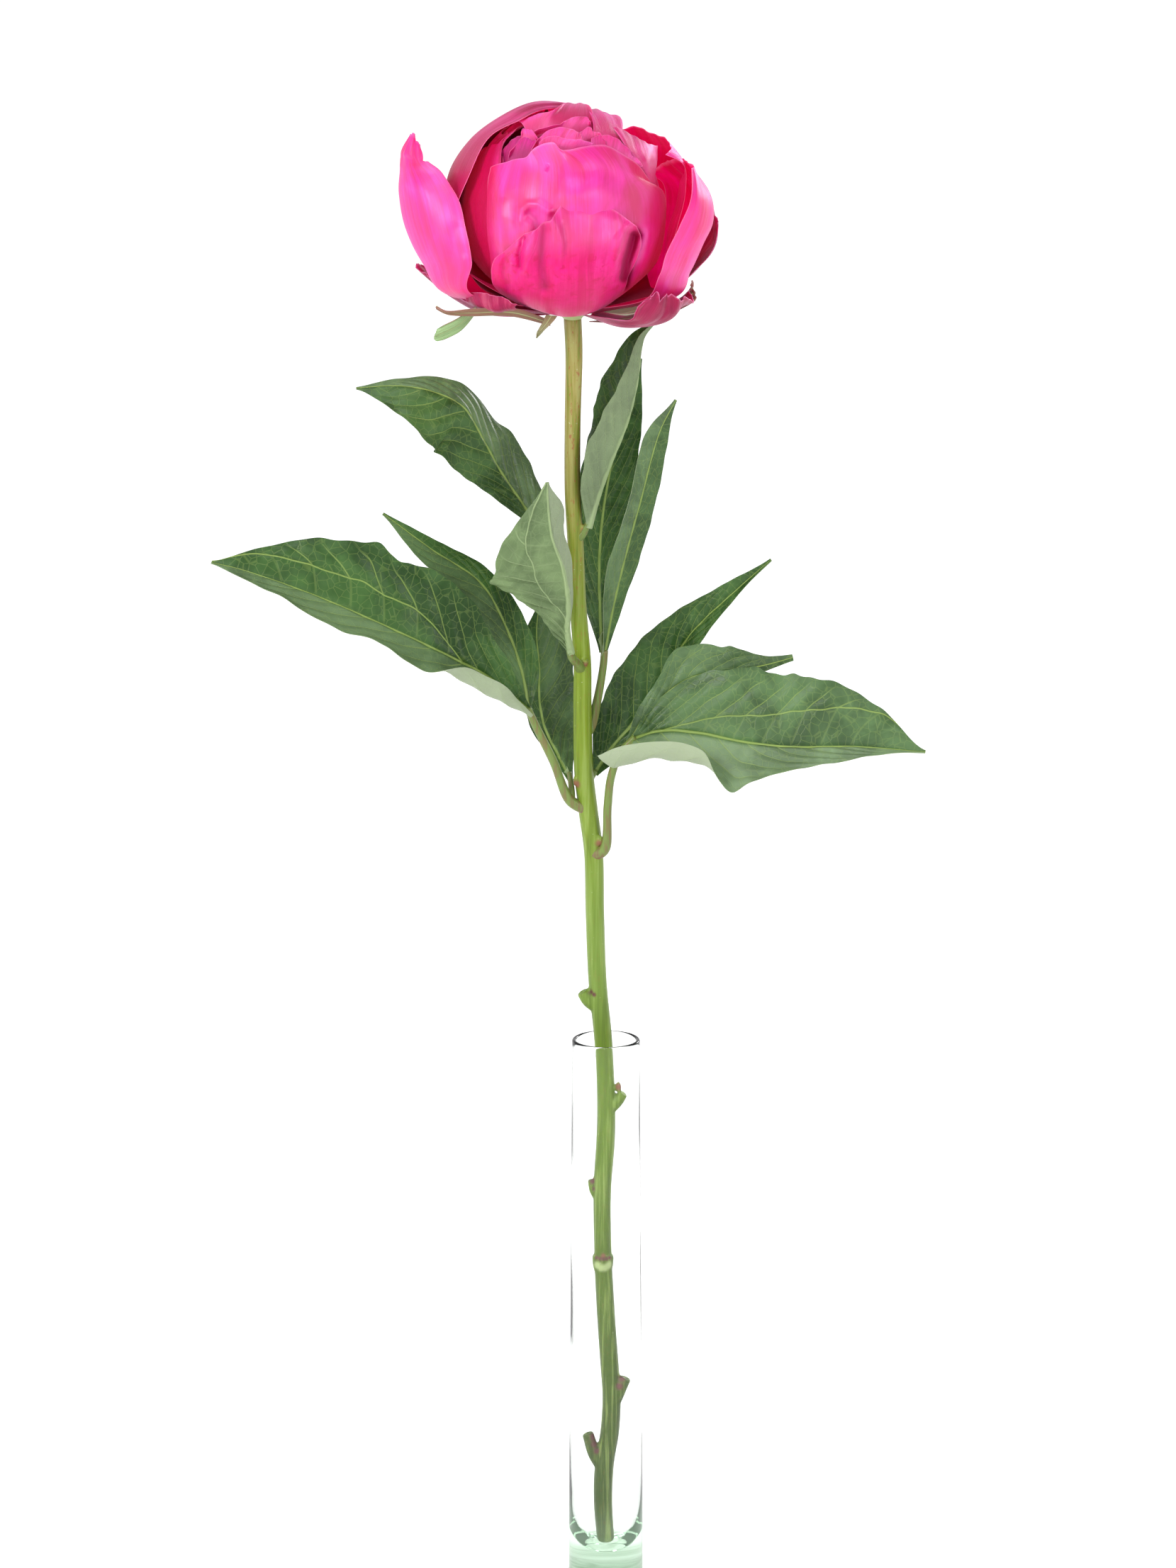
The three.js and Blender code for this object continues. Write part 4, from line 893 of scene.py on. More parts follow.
def blade_surface(shape, s, v):
    """The blade's middle surface with its relief, and what its materials read, at shares s across and v along it."""
    curve = Line(shape["midrib"])
    tangent = curve.tangent(v)
    left = s < 0
    share = np.abs(s)

    def halves(name):
        values = [along(shape[side][name], v) for side in ("left", "right")]
        return np.where(left if values[0].ndim == left.ndim else left[..., None], *values)

    width = np.maximum(halves("width"), 0.2)
    for which, at, size, reach in shape.get("bumps", ()):
        width = width * (1 + size * bell(v - at, reach) * (left if which < 0 else ~left))
    seed = shape["midrib"][0][0] + shape["wave"][2]
    width = width * (1 + 0.018 * np.sin(37 * v + seed) + 0.01 * np.sin(83 * v + 2 * seed))
    way = halves("to")
    way = unit(way - tangent * np.sum(way * tangent, -1, keepdims=True))
    face = np.where(left[..., None], np.cross(tangent, way), np.cross(way, tangent))
    # Each half is flat up to its roll, bends from there on, and waves more and more towards its margin.
    bend = np.where(np.abs(halves("bend")) < 1e-3, 1e-3, halves("bend"))
    height, count, phase = shape["wave"]
    narrow = np.minimum(1, width / 10)
    wave = height * share**2 * np.sin(TURN * count * v + phase + s) * narrow
    wave = wave + 0.3 * height * share**4 * np.sin(TURN * 2.7 * count * v + 2 * phase) * narrow
    roll = halves("roll")
    turn = bend * np.maximum(share - roll, 0) / (1 - roll)
    radius = width * (1 - roll) / bend
    reach = width * np.minimum(share, roll) + radius * np.sin(turn)
    rise = radius * (1 - np.cos(turn)) + wave
    back = halves("lobe") * share**1.5
    points = curve.at(v) + way * reach[..., None] + face * rise[..., None] - tangent * back[..., None]

    # The veins are sunk, and the blade swells between them. Where there is a strong vein, the side veins start
    # from it, and they are fainter between it and the midrib.
    rib = s * width
    far = 9.0
    side = np.full(s.shape, far)
    inner = share
    on = np.zeros(s.shape, bool)
    if "strong" in shape:
        which, shares = shape["strong"]
        course = along(shares, v)
        here = left if which < 0 else ~left
        side = np.where(here, (share - course) * width, side)
        on = here & (course > 0)
        inner = np.where(on, np.maximum(share - course, 0) + 0.4 * np.minimum(share, course), share)
        on = on & (share < course)
    order = shape["count"] * (v - shape["sweep"] * inner**1.15) + np.where(left, 0.5, 0.0)
    fade = smooth_step((width - 2) / 5) * smooth_step(share / 0.08) * smooth_step((1.02 - share) / 0.35)
    fade = fade * smooth_step((0.97 - v) / 0.2) * np.where(on, 0.35, 1)
    turned = np.abs((order + 0.5) % 1 - 0.5)
    spacing = curve.length / shape["count"]
    sunk = 0.42 * bell(rib, 0.9) * (1 - 0.7 * v) + 0.26 * bell(side, 0.8) + 0.2 * fade * bell(turned * spacing, 0.75)
    swell = 0.46 * fade * (1 - np.cos(TURN * turned)) / 2 * np.minimum(1, width / 12)
    # How pale each half is: partly a waxy bloom, partly painted sheen.
    wrinkle, wax = (np.where(left, *shape.get(name, (0, 0))) for name in ("wrinkle", "wax"))
    swell = swell + wrinkle * np.sin(TURN * (1.6 * order + 0.7 * share)) * smooth_step(share / 0.15) * (1 - v)
    points = points + grid_normals(points) * (swell - sunk)[..., None]
    # On the underside the midrib and the strong vein stand out.
    keel = 0.9 * bell(rib, 0.85) * (1 - 0.85 * v) + 0.25 * bell(side, 0.7)
    seeds = np.full(s.shape, seed)
    fields = {
        "veins": np.stack([rib, side, order], -1),
        "blade": np.stack([v, fade, seeds], -1),
        "flat": np.stack([rib, v * curve.length, seeds], -1),
        "wax": wax * smooth_step(share / 0.1),
    }
    return points, keel, fields


def make_leaves():
    materials = [leaf_upper(), leaf_under(), stalk_green()]
    fields = [("veins", 3), ("blade", 3), ("flat", 3), ("wax", 1), ("along", 1)]
    for name, leaf in LEAVES.items():
        patches = []
        for shape in leaf["blades"]:
            widest = sum(max(shape[side]["width"]) for side in ("left", "right"))
            s, v = grid(widest, Line(shape["midrib"]).length)
            points, keel, data = blade_surface(shape, s, v)
            taper = LEAF_THICKNESS / 2 * (1 - 0.5 * np.abs(s) ** 8)
            patches.append(sheet_patch(points, taper, taper + keel, [0, 1, 1], data))
        for stalk in leaf["stalks"]:
            flared = [stalk["radii"][0] * 1.12, *stalk["radii"][1:]]
            patches.append(tube_patch(stalk["line"], flared, 20, 60, material=2, ribs=0.03))
        dress(make_mesh(name + "_fine", patches, materials, fields), "leaf_green", name)


# Bloom. The bud is an ellipsoid. Most petals are given as they look from the front: rows of points from root to tip,
# each row from the left margin to the right one, as seen from outside. A point is [right, up] on the bud, or
# [right, up, towards the viewer], from the bloom's middle. The lifts are heights above the bud, in rows too. A free
# petal doesn't lie on the bud. The others are given by their bearing and by their line or their reach over the bud.

BLOOM_MIDDLE = np.array([-12, 0, 508])
SEEN_SCALE = 0.987
RIGHTWARD = np.array([1.0, 0, 0])
TOWARD = unit(np.array(VIEW_PLACE) / MM - BLOOM_MIDDLE)
UPWARD = unit(np.cross(TOWARD, RIGHTWARD))
BUD_CENTRE = np.array([-16, 0, 509.6])
BUD_RADII = np.array([36.5, 40, 38.5])
BUD_BASE = [-16, 0, 474.6]
CORE_INSET = 9.5
SEPAL_OUTLINE = [0.6, 0.9, 1, 0.75, 0.1]
PETAL_OUTLINE = [0.26, 0.72, 1, 1, 0.78]


def crease(reach, depth, *line, fade=False):
    """A line on a petal, as seen from the front, that is pushed in, or out where the depth is below 0. A line that
    fades dies out towards both ends."""
    return dict(line=np.array(line, float), reach=reach, depth=depth, fade=fade)


def crown(lift, *rows, look="crown"):
    """A petal of the crown, by its lifts and its rows of points."""
    return dict(lift=lift, rows=rows, look=look)


PETALS = dict(
    petal_front=dict(
        rows=[
            [[-12, -32, -12], [0, -35, -8], [12, -32, -12]],
            [[-27, -26.5], [-13, -33], [0, -35], [12, -33], [25, -25]],
            [[-29.5, -17], [-15, -18], [0, -18], [16, -17], [30, -16, -4]],
            [[-31, -6], [-16, -5], [0, -5], [17, -4], [33, -3, -8]],
            [[-31, 6], [-16, 7], [0, 8], [16, 8], [32, 6, -4]],
            [[-30, 14], [-23, 15.5], [-15, 17], [-8, 18], [-1, 17.5], [7, 17.5], [15, 17], [22, 14.5],
             [28.5, 10.5]],
            [[-29, 17.6], [-22.5, 19.8], [-16.5, 20.9], [-13.3, 24.5], [-7, 26.3], [-3.8, 23.4], [3.4, 24.5],
             [11.4, 25.3], [21.8, 19.3], [27.6, 12.4]],
        ],
        lift=[[-7, -7, -7], [-3, -2, -2.5], [-2.4, 3, 3.2, 2.4, 1], [-2.8, 3.4, 3.8, 2.6, 0],
              [-2.8, 3.4, 4.4, 3, 0], [-2.2, 3, 4.8, 3.8, 0.8], [-1, 3.8, 5.4, 4.8, 1.4]],
        creases=[
            crease(3.2, -1.6, [-27.5, 15], [-27, 4], [-27.5, -8], [-25.5, -17]),
            crease(3, 0.6, [-20, 9], [-21.4, 3], [-21, -2], [-19.4, -8], fade=True),
            crease(1.5, -1.1, [-18.8, -2], [-17.9, 2.0], [-15.6, 3.8], [-12.2, 4], [-8.4, 1.8]),
            crease(2.6, 2.1, [-15, 0.4], [-13.2, -1.4], [-12, -5]),
            crease(2.8, 6.5, [22, -7], [21, -11], [19.2, -17], [17.8, -24]),
            crease(1.8, -1.2, [27.4, -6], [27.2, -13], [25.4, -20]),
            crease(0.5, 0.7, [-8.6, 18.4], [-9.3, 15.4], fade=True),
            crease(7, -1.2, [-4, 7], [8, 9], [22, 7], fade=True),
            crease(4.5, 1.0, [-4, 14], [10, 15.5], [25, 8], fade=True),
            crease(5, -1.5, [-26, 6], [-25.4, -4], [-24, -14], fade=True),
        ],
        wave=[0.3, 3, 0], look="front", fine=0.6,
    ),
    petal_front_low=dict(
        rows=[
            [[-10, -31, -8], [-3, -34, -6], [6, -31, -8]],
            [[-26.5, -27], [-14, -33], [-3, -36], [7, -34.6], [17, -28.4]],
            [[-29, -22.5], [-14, -25], [-2, -26], [9, -25], [20, -22]],
            [[-28.2, -16], [-14, -17.5], [-2, -17.5], [9, -17.5], [22.8, -16]],
            [[-23, -11.6], [-12, -10.5], [-2, -9], [10, -8.5], [24.6, -9.6]],
            [[-17.1, -6.3], [-13.2, -4.9], [-10.3, -2.2], [-7.6, -1.4], [-3.4, 4.6], [3.4, 6.4], [9.7, 5],
             [16.4, 1], [23, -3.8]],
        ],
        lift=[[-6, -6, -6], [0.4, 0, 0.4], [2.4, 5.5, 6, 5.5, 3.4], [2.8, 6.4, 7.8, 7.4, 5],
              [3.6, 7.2, 6.8, 6.6, 6], [5.6, 7.4, 8.4, 8.6, 3.4, 1.8, 1.8, 3.8, 7.4]],
        creases=[
            crease(1.8, -1.6, [20, -4], [16.8, -9], [15.4, -16], [15.2, -23]),
            crease(2.2, 5.6, [22, -7], [21, -11], [19.4, -16], [18.2, -22]),
            crease(2.0, -1.7, [-7.4, -1.6], [-5.2, -4.5], [-4, -9], [-4, -13]),
            crease(2.8, 2.5, [-10.4, -3.4], [-10.8, -9], [-10.8, -18], [-9.6, -25]),
            crease(1.6, -1.3, [-14, -5.5], [-15.4, -12], [-16, -20]),
            crease(1.3, 1.9, [-17, -8], [-18.6, -13], [-18.4, -18]),
            crease(1.7, -1.9, [-20, -10.5], [-21.8, -13], [-21.4, -16.5]),
            crease(1.4, 1.8, [-23.4, -14], [-24.6, -20], [-23, -26]),
            crease(1.4, 0.9, [-3.5, -4], [-2.4, -10], [-3, -18]),
            crease(3.4, -0.9, [2, 1.2], [9, 1.7], [15, -1.8]),
        ],
        wave=[0.35, 3, 1], look="mottled", ragged=0.6, fine=0.6,
    ),
    petal_left=dict(
        rows=[
            [[-5, -34, -8], [-8, -35, 0], [-4, -34, 6]],
            [[-24, -27, -18], [-43, -28.5, 0], [-40, -29, 11], [-35.6, -28.5, 17]],
            [[-38, -14, -22], [-53.8, -16.5, 0], [-46, -17, 16], [-36, -16.5, 22]],
            [[-44, -2, -22], [-60, -4, 0], [-50, -4, 17], [-38, -6, 22.5]],
            [[-48, 8, -20], [-62.3, 8, -1], [-53, 8, 15], [-40.8, 5.7, 19]],
            [[-52, 16, -14], [-62, 16, -2], [-56, 15, 10], [-46.3, 15.2, 14.5]],
            [[-53.5, 18.5, -12], [-62, 18.5, -2], [-57, 17.5, 8], [-51.4, 19.3, 12]],
            [[-55, 21, -10], [-61.8, 21, -2.5], [-57.5, 20, 6], [-53.3, 19.4, 10.5]],
            [[-56.5, 23.5, -8], [-61.2, 24, -3], [-58.4, 22.5, 4], [-54, 22.8, 7]],
            [[-58, 27.4, -5], [-57.6, 29.7, -2.5], [-56.8, 29.4, -0.5], [-55.9, 26, 2]],
        ],
        creases=[
            crease(2.4, 0.8, [-48, -24], [-43, -14], [-42, -5]),
            crease(1.8, -0.8, [-40, -26], [-38.5, -16]),
            crease(4, -0.8, [-57, 10], [-54, -4], [-47, -16]),
        ],
        free=True, wave=[0.5, 3, 0], scallop=0.7,
    ),
    petal_right=dict(
        rows=[
            [[2, -34, 8], [8, -35, 0], [5, -34, -8]],
            [[25, -30.5, 17], [36, -29.5, 4], [34, -26, -8], [24, -27, -16]],
            [[31, -21.5, 24], [41.4, -20.5, 8], [40.4, -18, -10], [28, -16, -26]],
            [[33.7, -13.4, 26], [45.8, -11, 10], [44.6, -8, -10], [32, -6, -26]],
            [[38.5, -3.8, 24], [49.8, -2, 8], [47, 0, -8], [34, 4, -24]],
            [[42.7, 6, 18], [49, 8, 5], [45, 10, -9], [33, 12, -20]],
            [[43.3, 16.9, 9], [42.5, 19, 1], [38.5, 20.6, -6], [33, 19.5, -13], [28, 15, -17]],
        ],
        creases=[
            crease(3, -0.9, [46, 6], [45, -6], [40, -18]),
            crease(2, 0.8, [36, -25], [40, -14]),
        ],
        free=True, wave=[0.5, 3, 2],
    ),
    petal_right_rear=dict(
        rows=[
            [[6, -34, -2], [8, -34, -10]],
            [[34, -27, 0], [38, -22, -16], [28, -16, -28]],
            [[45.5, -18.5, -1], [49, -12, -12], [40, -6, -26]],
            [[51, -11.5, -4], [51.5, -6, -11], [46, 0, -20]],
            [[52.8, -3, -6], [50.5, 2.4, -10], [47, 4.5, -16]],
        ],
        free=True, look="crimson", inside="low", wave=[0.4, 3, 1],
    ),
    petal_back_left=dict(
        rows=[
            [[-3, -34, -16], [-9, -35, -12], [-12, -35, -6]],
            [[-14, -20, -36], [-34, -20, -22], [-38, -20, 2]],
            [[-16, 0, -42], [-38, 0, -26], [-45.5, 0, -4], [-42.5, -2, 13]],
            [[-14, 14, -41], [-36, 15, -25], [-44.6, 15, -5], [-36.8, 15, 20.5]],
            [[-10, 27, -34], [-28, 27, -24], [-37.2, 27, -5], [-30, 28.1, 16]],
            [[-5, 36, -24], [-16, 37, -17], [-26.5, 35.5, -3], [-19, 34.4, 17]],
            [[-1, 38.5, -18], [-7, 40, -12], [-14, 41, -1], [-12, 37.9, 13]],
            [[3, 36, -16], [2, 38.6, -10], [-1, 40.4, -3], [-3, 39.4, 7]],
        ],
        free=True, look="mauve", wave=[0.35, 3, 2],
    ),
    petal_back_right=dict(
        rows=[
            [[4, -36, -10], [0, -35, -18]],
            [[30, -22, -20], [20, -18, -36], [6, -16, -42]],
            [[39, 0, -14], [30, 0, -34], [12, 4, -44]],
            [[41, 13, -6], [34, 15, -28], [15, 18, -38]],
            [[39.5, 19, 0], [39.5, 20, -14], [29, 26, -24], [17, 27, -30]],
            [[33.5, 22, 4], [35.5, 25.5, -3], [31, 29, -11], [23, 32, -17], [16, 31, -22]],
        ],
        free=True, wave=[0.4, 3, 3],
    ),
    petal_back=dict(
        bearing=104, reach=134, lift=6.5, half=31, wave=[0.8, 3, 4], notch=0.04, round=0.18,
    ),
    petal_low_left=dict(
        rows=[
            [[-5, -34, -10], [-8, -35, -2], [-4, -35, 5]],
            [[-26, -30, -14], [-30, -35, 0], [-24, -36, 10]],
            [[-44, -24, -12], [-44, -28.6, 0], [-38, -31, 9]],
            [[-54.5, -17.3, -9], [-56.6, -17.8, -4], [-52, -22, 3]],
        ],
        free=True, look="low", wave=[0.5, 2, 0],
    ),
    petal_low_front=dict(
        rows=[
            [[-10, -34, 2], [-8, -35, 5], [-6, -35, 6]],
            [[-32, -33, 8], [-25, -34.6, 15], [-17, -33.6, 16]],
            [[-38, -30.8, 12], [-29, -33.4, 22], [-20.5, -33, 24]],
            [[-37.8, -28, 13], [-36, -27.3, 15.5], [-30, -27.9, 23], [-24.9, -29.3, 26], [-20, -31.5, 27]],
        ],
        free=True, look="low", wave=[0.5, 3, 0],
    ),
    petal_low_right=dict(
        rows=[
            [[2, -35, 10], [6, -36, 2], [8, -34, -8]],
            [[12, -36.5, 20], [17, -39.7, 10], [20, -36, -8]],
            [[20.5, -37, 26], [29, -39, 14], [33, -34, -6]],
            [[23, -32.5, 29], [36, -35.5, 17], [40, -29, -4]],
            [[27, -29.2, 29.5], [31, -27.4, 29], [35, -28.2, 27], [40, -29.5, 20], [43.3, -29.8, 8],
             [42, -26, -2]],
        ],
        creases=[
            crease(1.6, -0.9, [22, -38], [26, -34], [29, -29]),
            crease(1.6, 0.8, [28, -38], [32, -34], [35, -29]),
            crease(1.4, -0.7, [34, -36], [38, -32], [40, -29]),
        ],
        free=True, look="low", wave=[0.9, 4, 1],
        nicks=[(-0.78, 0.07, 0.09), (-0.5, 0.1, 0.12), (-0.24, 0.06, 0.07), (0.1, 0.06, 0.08)], scallop=0.6,
    ),
    petal_low_back=dict(
        bearing=76, line=[[6, -2.5], [22, -5], [40, -2], [53, 5], [58, 12]], half=17, cup=[22, 30, 34],
        round=0.25, wave=[0.8, 3, 2], look="low",
    ),
)

# The petals of the crown and the flanks, which show between the large ones: the left flank, then from behind forwards
CROWN = [
    crown([[-6, -6], [0, -2.5], [0.2, -2.5], [0.2, -1.5]], [[-16, -34, -14], [-8, -36, -6], [0, -37, -4]],
        [[-28, -20, -26], [-36, -20, -2], [-30, -22, 18], [-20, -26, 26]],
        [[-34, 0, -26], [-42, 0, -2], [-36, 0, 18], [-24, 0, 30]],
        [[-32, 14, -22], [-38, 14, -2], [-34, 14, 16], [-26, 14, 28]],
        [[-28, 24, -18], [-34, 23, -2], [-32, 24.1], [-28.5, 25.6], [-24.9, 27.1]], look="flank"),
    crown([-5, -3.6, -2.2], [[-29, 14], [-22, 15], [-17, 16]], [[-28.6, 19], [-23, 21], [-17.5, 22]],
        [[-28.4, 19.6], [-25, 24], [-21.5, 27], [-18.5, 28.8], [-16.5, 27.5]], look="violet"),
    crown([-4.5, -3, -0.8], [[-24, 16], [-18, 17], [-12, 18]], [[-23, 20], [-18, 22], [-13, 22]],
        [[-22.5, 22.5], [-19, 27.2], [-16, 28], [-13.3, 27.4], [-13, 25.5]], look="violet"),
    crown([-5, -2.4, 0.3], [[-19, 24], [-5, 27], [9, 27]], [[-17, 31], [-5, 33], [8, 33]],
        [[-19.7, 34.2], [-12.5, 36.4], [-6, 37.9], [-2, 39, 2], [1.5, 39.6, 0], [4.5, 39.8, -1], [7.5, 36]]),
    crown([-4, -1, 1.0], [[-20, 24], [-13, 24]], [[-18.5, 28], [-12.5, 27]],
        [[-18.5, 29.2], [-17.3, 31.2], [-14.5, 30.4], [-12.5, 27.9]]),
    crown([-5, -2.4, 0.6], [[-15, 22], [-5, 24], [7, 25]], [[-14.5, 28], [-4, 30], [7, 31]],
        [[-13.3, 30.2], [-5.3, 32.6], [-2.2, 34.2], [5, 35.4], [6.4, 33.6]]),
    crown([-1.6, 0.4, [-0.6, -1, -0.4, 0.6, 1.4]], [[6, 24], [14, 24], [20, 22]],
        [[7.4, 30], [13, 30], [18, 28]],
        [[6.8, 35], [5, 39.6, 1], [8.2, 38.3, 1], [12.2, 36, 1], [15.6, 33.2, 2]]),
    crown([-4, -1.4, 1.9], [[-16, 14], [-5, 14], [5, 14]], [[-15, 22], [-6, 24], [3, 22]],
        [[-13.3, 26], [-11, 29], [-6, 31.2], [-0.6, 31.2], [2.6, 29.4], [3.8, 26]]),
    crown([-4, -1, 2.4], [[0, 16], [6, 16], [14, 16]], [[1, 24], [7, 25], [13, 23]],
        [[1.8, 29.5], [5.8, 31.6], [7.4, 30.4], [9.5, 29.5], [12, 26]]),
    crown([-3, 0.2, 3.3], [[-13, 14], [0, 14], [8, 15]], [[-12, 22], [-3, 23], [6, 22]],
        [[-12, 26.5], [-7, 28.4], [-1, 27.5], [3.4, 26.9], [7.5, 26.2]]),
    dict(
        rows=[
            [[23, 2], [27, 2], [30, 0, -4]],
            [[26.2, 12], [28, 12], [29.6, 11]],
            [[24, 17.5], [27, 18], [30, 17]],
            [[19.5, 23.6], [25, 23], [30.4, 21.6]],
            [[14.4, 31.8], [20.7, 29.6], [26, 26.2], [30.8, 25.4]],
        ],
        lift=[[-3, -3, -4], [-0.4, 0.4, -1], [1.6, 2.6, 1.2], [2, 3.2, 2.4], [1, 2, 3, 4]],
        creases=[
            crease(1.4, -1.1, [27, 12], [26.6, 19], [28.6, 25]),
            crease(1.0, 0.7, [28.6, 13], [29, 19]),
        ],
        look="crown",
    ),
    crown([-3, 0.4, 2.8], [[6, 14], [14, 14], [22, 12]], [[7, 22], [14, 22], [22, 17]],
        [[6.5, 27.3], [10, 29], [15, 27.8], [20, 24.3], [25, 17.5]]),
]

# The petals that close the bud behind, in rounds of bearings, as bearing, reach, lift and half width
ROUNDS = [
    (-30, 120, -3.6, 26), (28, 126, -2.4, 26), (150, 134, 1.4, 27), (88, 130, 2.4, 27), (205, 128, -4.6, 24),
    (0, 146, -5, 20), (60, 148, -2.4, 21), (120, 152, -1.6, 21), (180, 148, -4.0, 20), (240, 146, -5.6, 20),
    (300, 146, -5, 20), (30, 168, -6, 14), (102, 166, -5.4, 14), (174, 168, -6, 14), (246, 164, -7, 13),
    (318, 164, -7, 13),
]

# The swollen top of the stem that the petals and sepals stand on
STEM_TOP = dict(line=[[-12, 0, 471], [-12, 0, 474], [-12, 0, 478]], radii=[3.4, 7, 8])
# The sepals, with how brown each is
SEPALS = [
    dict(
        rows=[
            [[-8, -36, 4], [-8, -36, -4]], [[-24, -29.5, 6], [-25, -31, -2]], [[-34, -32.4, 9], [-33, -33.4, 2]],
            [[-42, -37.2, 10], [-40.5, -41.5, 6]], [[-49.4, -40.8, 9], [-50.2, -45.8, 6]],
        ],
        brown=0.0,
    ),
    dict(
        rows=[
            [[-8, -37.5, 10], [-8, -39.5, 8]], [[-21, -33, 22], [-22, -36, 18]], [[-36, -33.4, 18], [-36, -36, 14]],
            [[-45, -34.3, 14], [-44, -35.4, 12]], [[-49.2, -32.4, 12], [-49, -32.8, 11]],
        ],
        brown=0.6,
    ),
    dict(
        rows=[
            [[-9.5, -35.5, 15], [-5.5, -36, 15]], [[-11, -38.5, 16], [-7.5, -38.5, 16.5]],
            [[-12.6, -41.5, 16], [-10.8, -41.5, 16.5]], [[-13, -43.8, 15.6], [-12.8, -43.9, 15.6]],
        ],
        brown=0.5,
    ),
    dict(
        rows=[
            [[6, -38, 2], [8, -38, -6]], [[22, -38.5, 8], [24, -35, -8]], [[34, -35.5, 8], [38, -30, -8]],
            [[43.2, -31.2, 4], [43, -25, -5]], [[44.2, -29.6, 1], [42.3, -22.6, -3]],
        ],
        brown=0.8,
    ),
    dict(bearing=46, line=[[3, -4], [20, -8], [36, -8], [48, -5], [55, 2]], half=8, brown=0.5),
    dict(bearing=122, line=[[3, -4], [20, -8], [38, -7], [50, -3], [57, 2]], half=6, brown=0.1),
]


def loft(rows, s, v):
    """A smooth sheet through rows of entries, read at shares s across it, from -1 to 1, and v from row to row."""
    across = np.array([along(row, (s[0] + 1) / 2) for row in rows])
    return np.stack([along(across[:, k], v[:, k]) for k in range(s.shape[1])], 1)


def seen_place(point, lift):
    """Where a point is that is given as [right, up] on the bud, or as [right, up, towards the viewer]."""
    right, up, *depth = np.array(point) * SEEN_SCALE
    start = BLOOM_MIDDLE + RIGHTWARD * right + UPWARD * up
    if depth:
        return start + TOWARD * depth[0]
    radii = BUD_RADII + lift
    offset, way = (start - BUD_CENTRE) / radii, TOWARD / radii
    middle = offset @ way
    root = math.sqrt(max(0, middle**2 - (way @ way) * (offset @ offset - 1)))
    return start + TOWARD * (root - middle) / (way @ way)


def on_bud(points, lift):
    """The points moved along their rays from the bud's centre to a height above the bud."""
    rays = points - BUD_CENTRE
    return BUD_CENTRE + rays / np.linalg.norm(rays / (BUD_RADII + lift), axis=-1, keepdims=True)


def crease_depth(points, creases):
    """How far the points of a sheet are pushed in by its creases."""
    offset = points - BLOOM_MIDDLE
    spots = np.stack([offset @ RIGHTWARD, offset @ UPWARD], -1) / SEEN_SCALE
    push = np.zeros(spots.shape[:2])
    for fold in creases:
        line = fold["line"]
        nearest = np.full(push.shape, 1e9)
        for start, end in zip(line, line[1:]):
            way = end - start
            share = np.clip((spots - start) @ way / (way @ way), 0, 1)
            nearest = np.minimum(nearest, np.linalg.norm(spots - start - share[..., None] * way, axis=-1))
        size = bell(nearest, fold["reach"])
        if fold["fade"]:
            middle, extent = (line[0] + line[-1]) / 2, np.linalg.norm(line[-1] - line[0]) / 2
            size = size * np.clip(1.15 - (np.linalg.norm(spots - middle, axis=-1) / extent) ** 2, 0, 1)
        push = push + fold["depth"] * size
    return push


def margin_trim(petal, s):
    """How far up the petal its upper margin runs at each share across, with its small waves, notch and nicks."""
    phase = petal["wave"][2]
    top = 1 - petal.get("round", 0) * np.abs(s) ** 2.4 - petal.get("notch", 0) * bell(s - 0.1, 0.14)
    ragged = petal.get("ragged", 1.0)
    top = top - ragged * (0.004 + 0.004 * np.sin(11 * s + phase) + 0.003 * np.sin(29 * s + 3 * phase))
    for at, size, reach in petal.get("nicks", ()):
        top = top - size * np.clip(1 - np.abs(s - at) / reach, 0, 1)
    return top


def scalloped(petal, points, s, v):
    """The points with the side margins drawn in and out by small uneven scallops."""
    phase = petal["wave"][2]
    width = grid_steps(points, 1).sum(1)[:, None]
    waves = 0.5 * np.sin(8 * v + phase) + 0.35 * np.sin(21 * v + 2 * phase) + 0.25 * np.sin(47 * v + 3 * phase)
    shift = petal.get("scallop", 0.3) * waves * np.exp(-(1 - np.abs(s)) * width / 6) * v * np.sign(s)
    return points + unit(np.gradient(points, axis=1)) * shift[..., None]


def ruffle(petal, s, v):
    depth, count, phase = petal["wave"]
    wave = depth * np.sin(count * math.pi * s + phase) * v**2
    return wave + 0.45 * depth * np.sin(2.7 * count * math.pi * s + 1.7 * phase) * v**5


def lofted_petal(petal, s, v):
    """The middle surface of a petal given by rows of points."""
    lifts = petal.get("lift", [0.0, 0.0])
    lift_rows = [np.array(row if isinstance(row, list) else [row] * 2, float)[:, None] for row in lifts]
    rows = []
    for k, row in enumerate(petal["rows"]):
        spread = np.linspace(-1, 1, len(row))[None, :]
        lift = loft(lift_rows, spread, np.full(spread.shape, k / (len(petal["rows"]) - 1)))[0, :, 0]
        rows.append(np.array([seen_place(point, rise) for point, rise in zip(row, lift)]))
    t = v * margin_trim(petal, s)
    points = scalloped(petal, loft(rows, s, t), s, v)
    wave = ruffle(petal, s, v)[..., None]
    if petal.get("free"):
        return points + grid_normals(points) * wave
    return on_bud(points, loft(lift_rows, s, t) + wave)


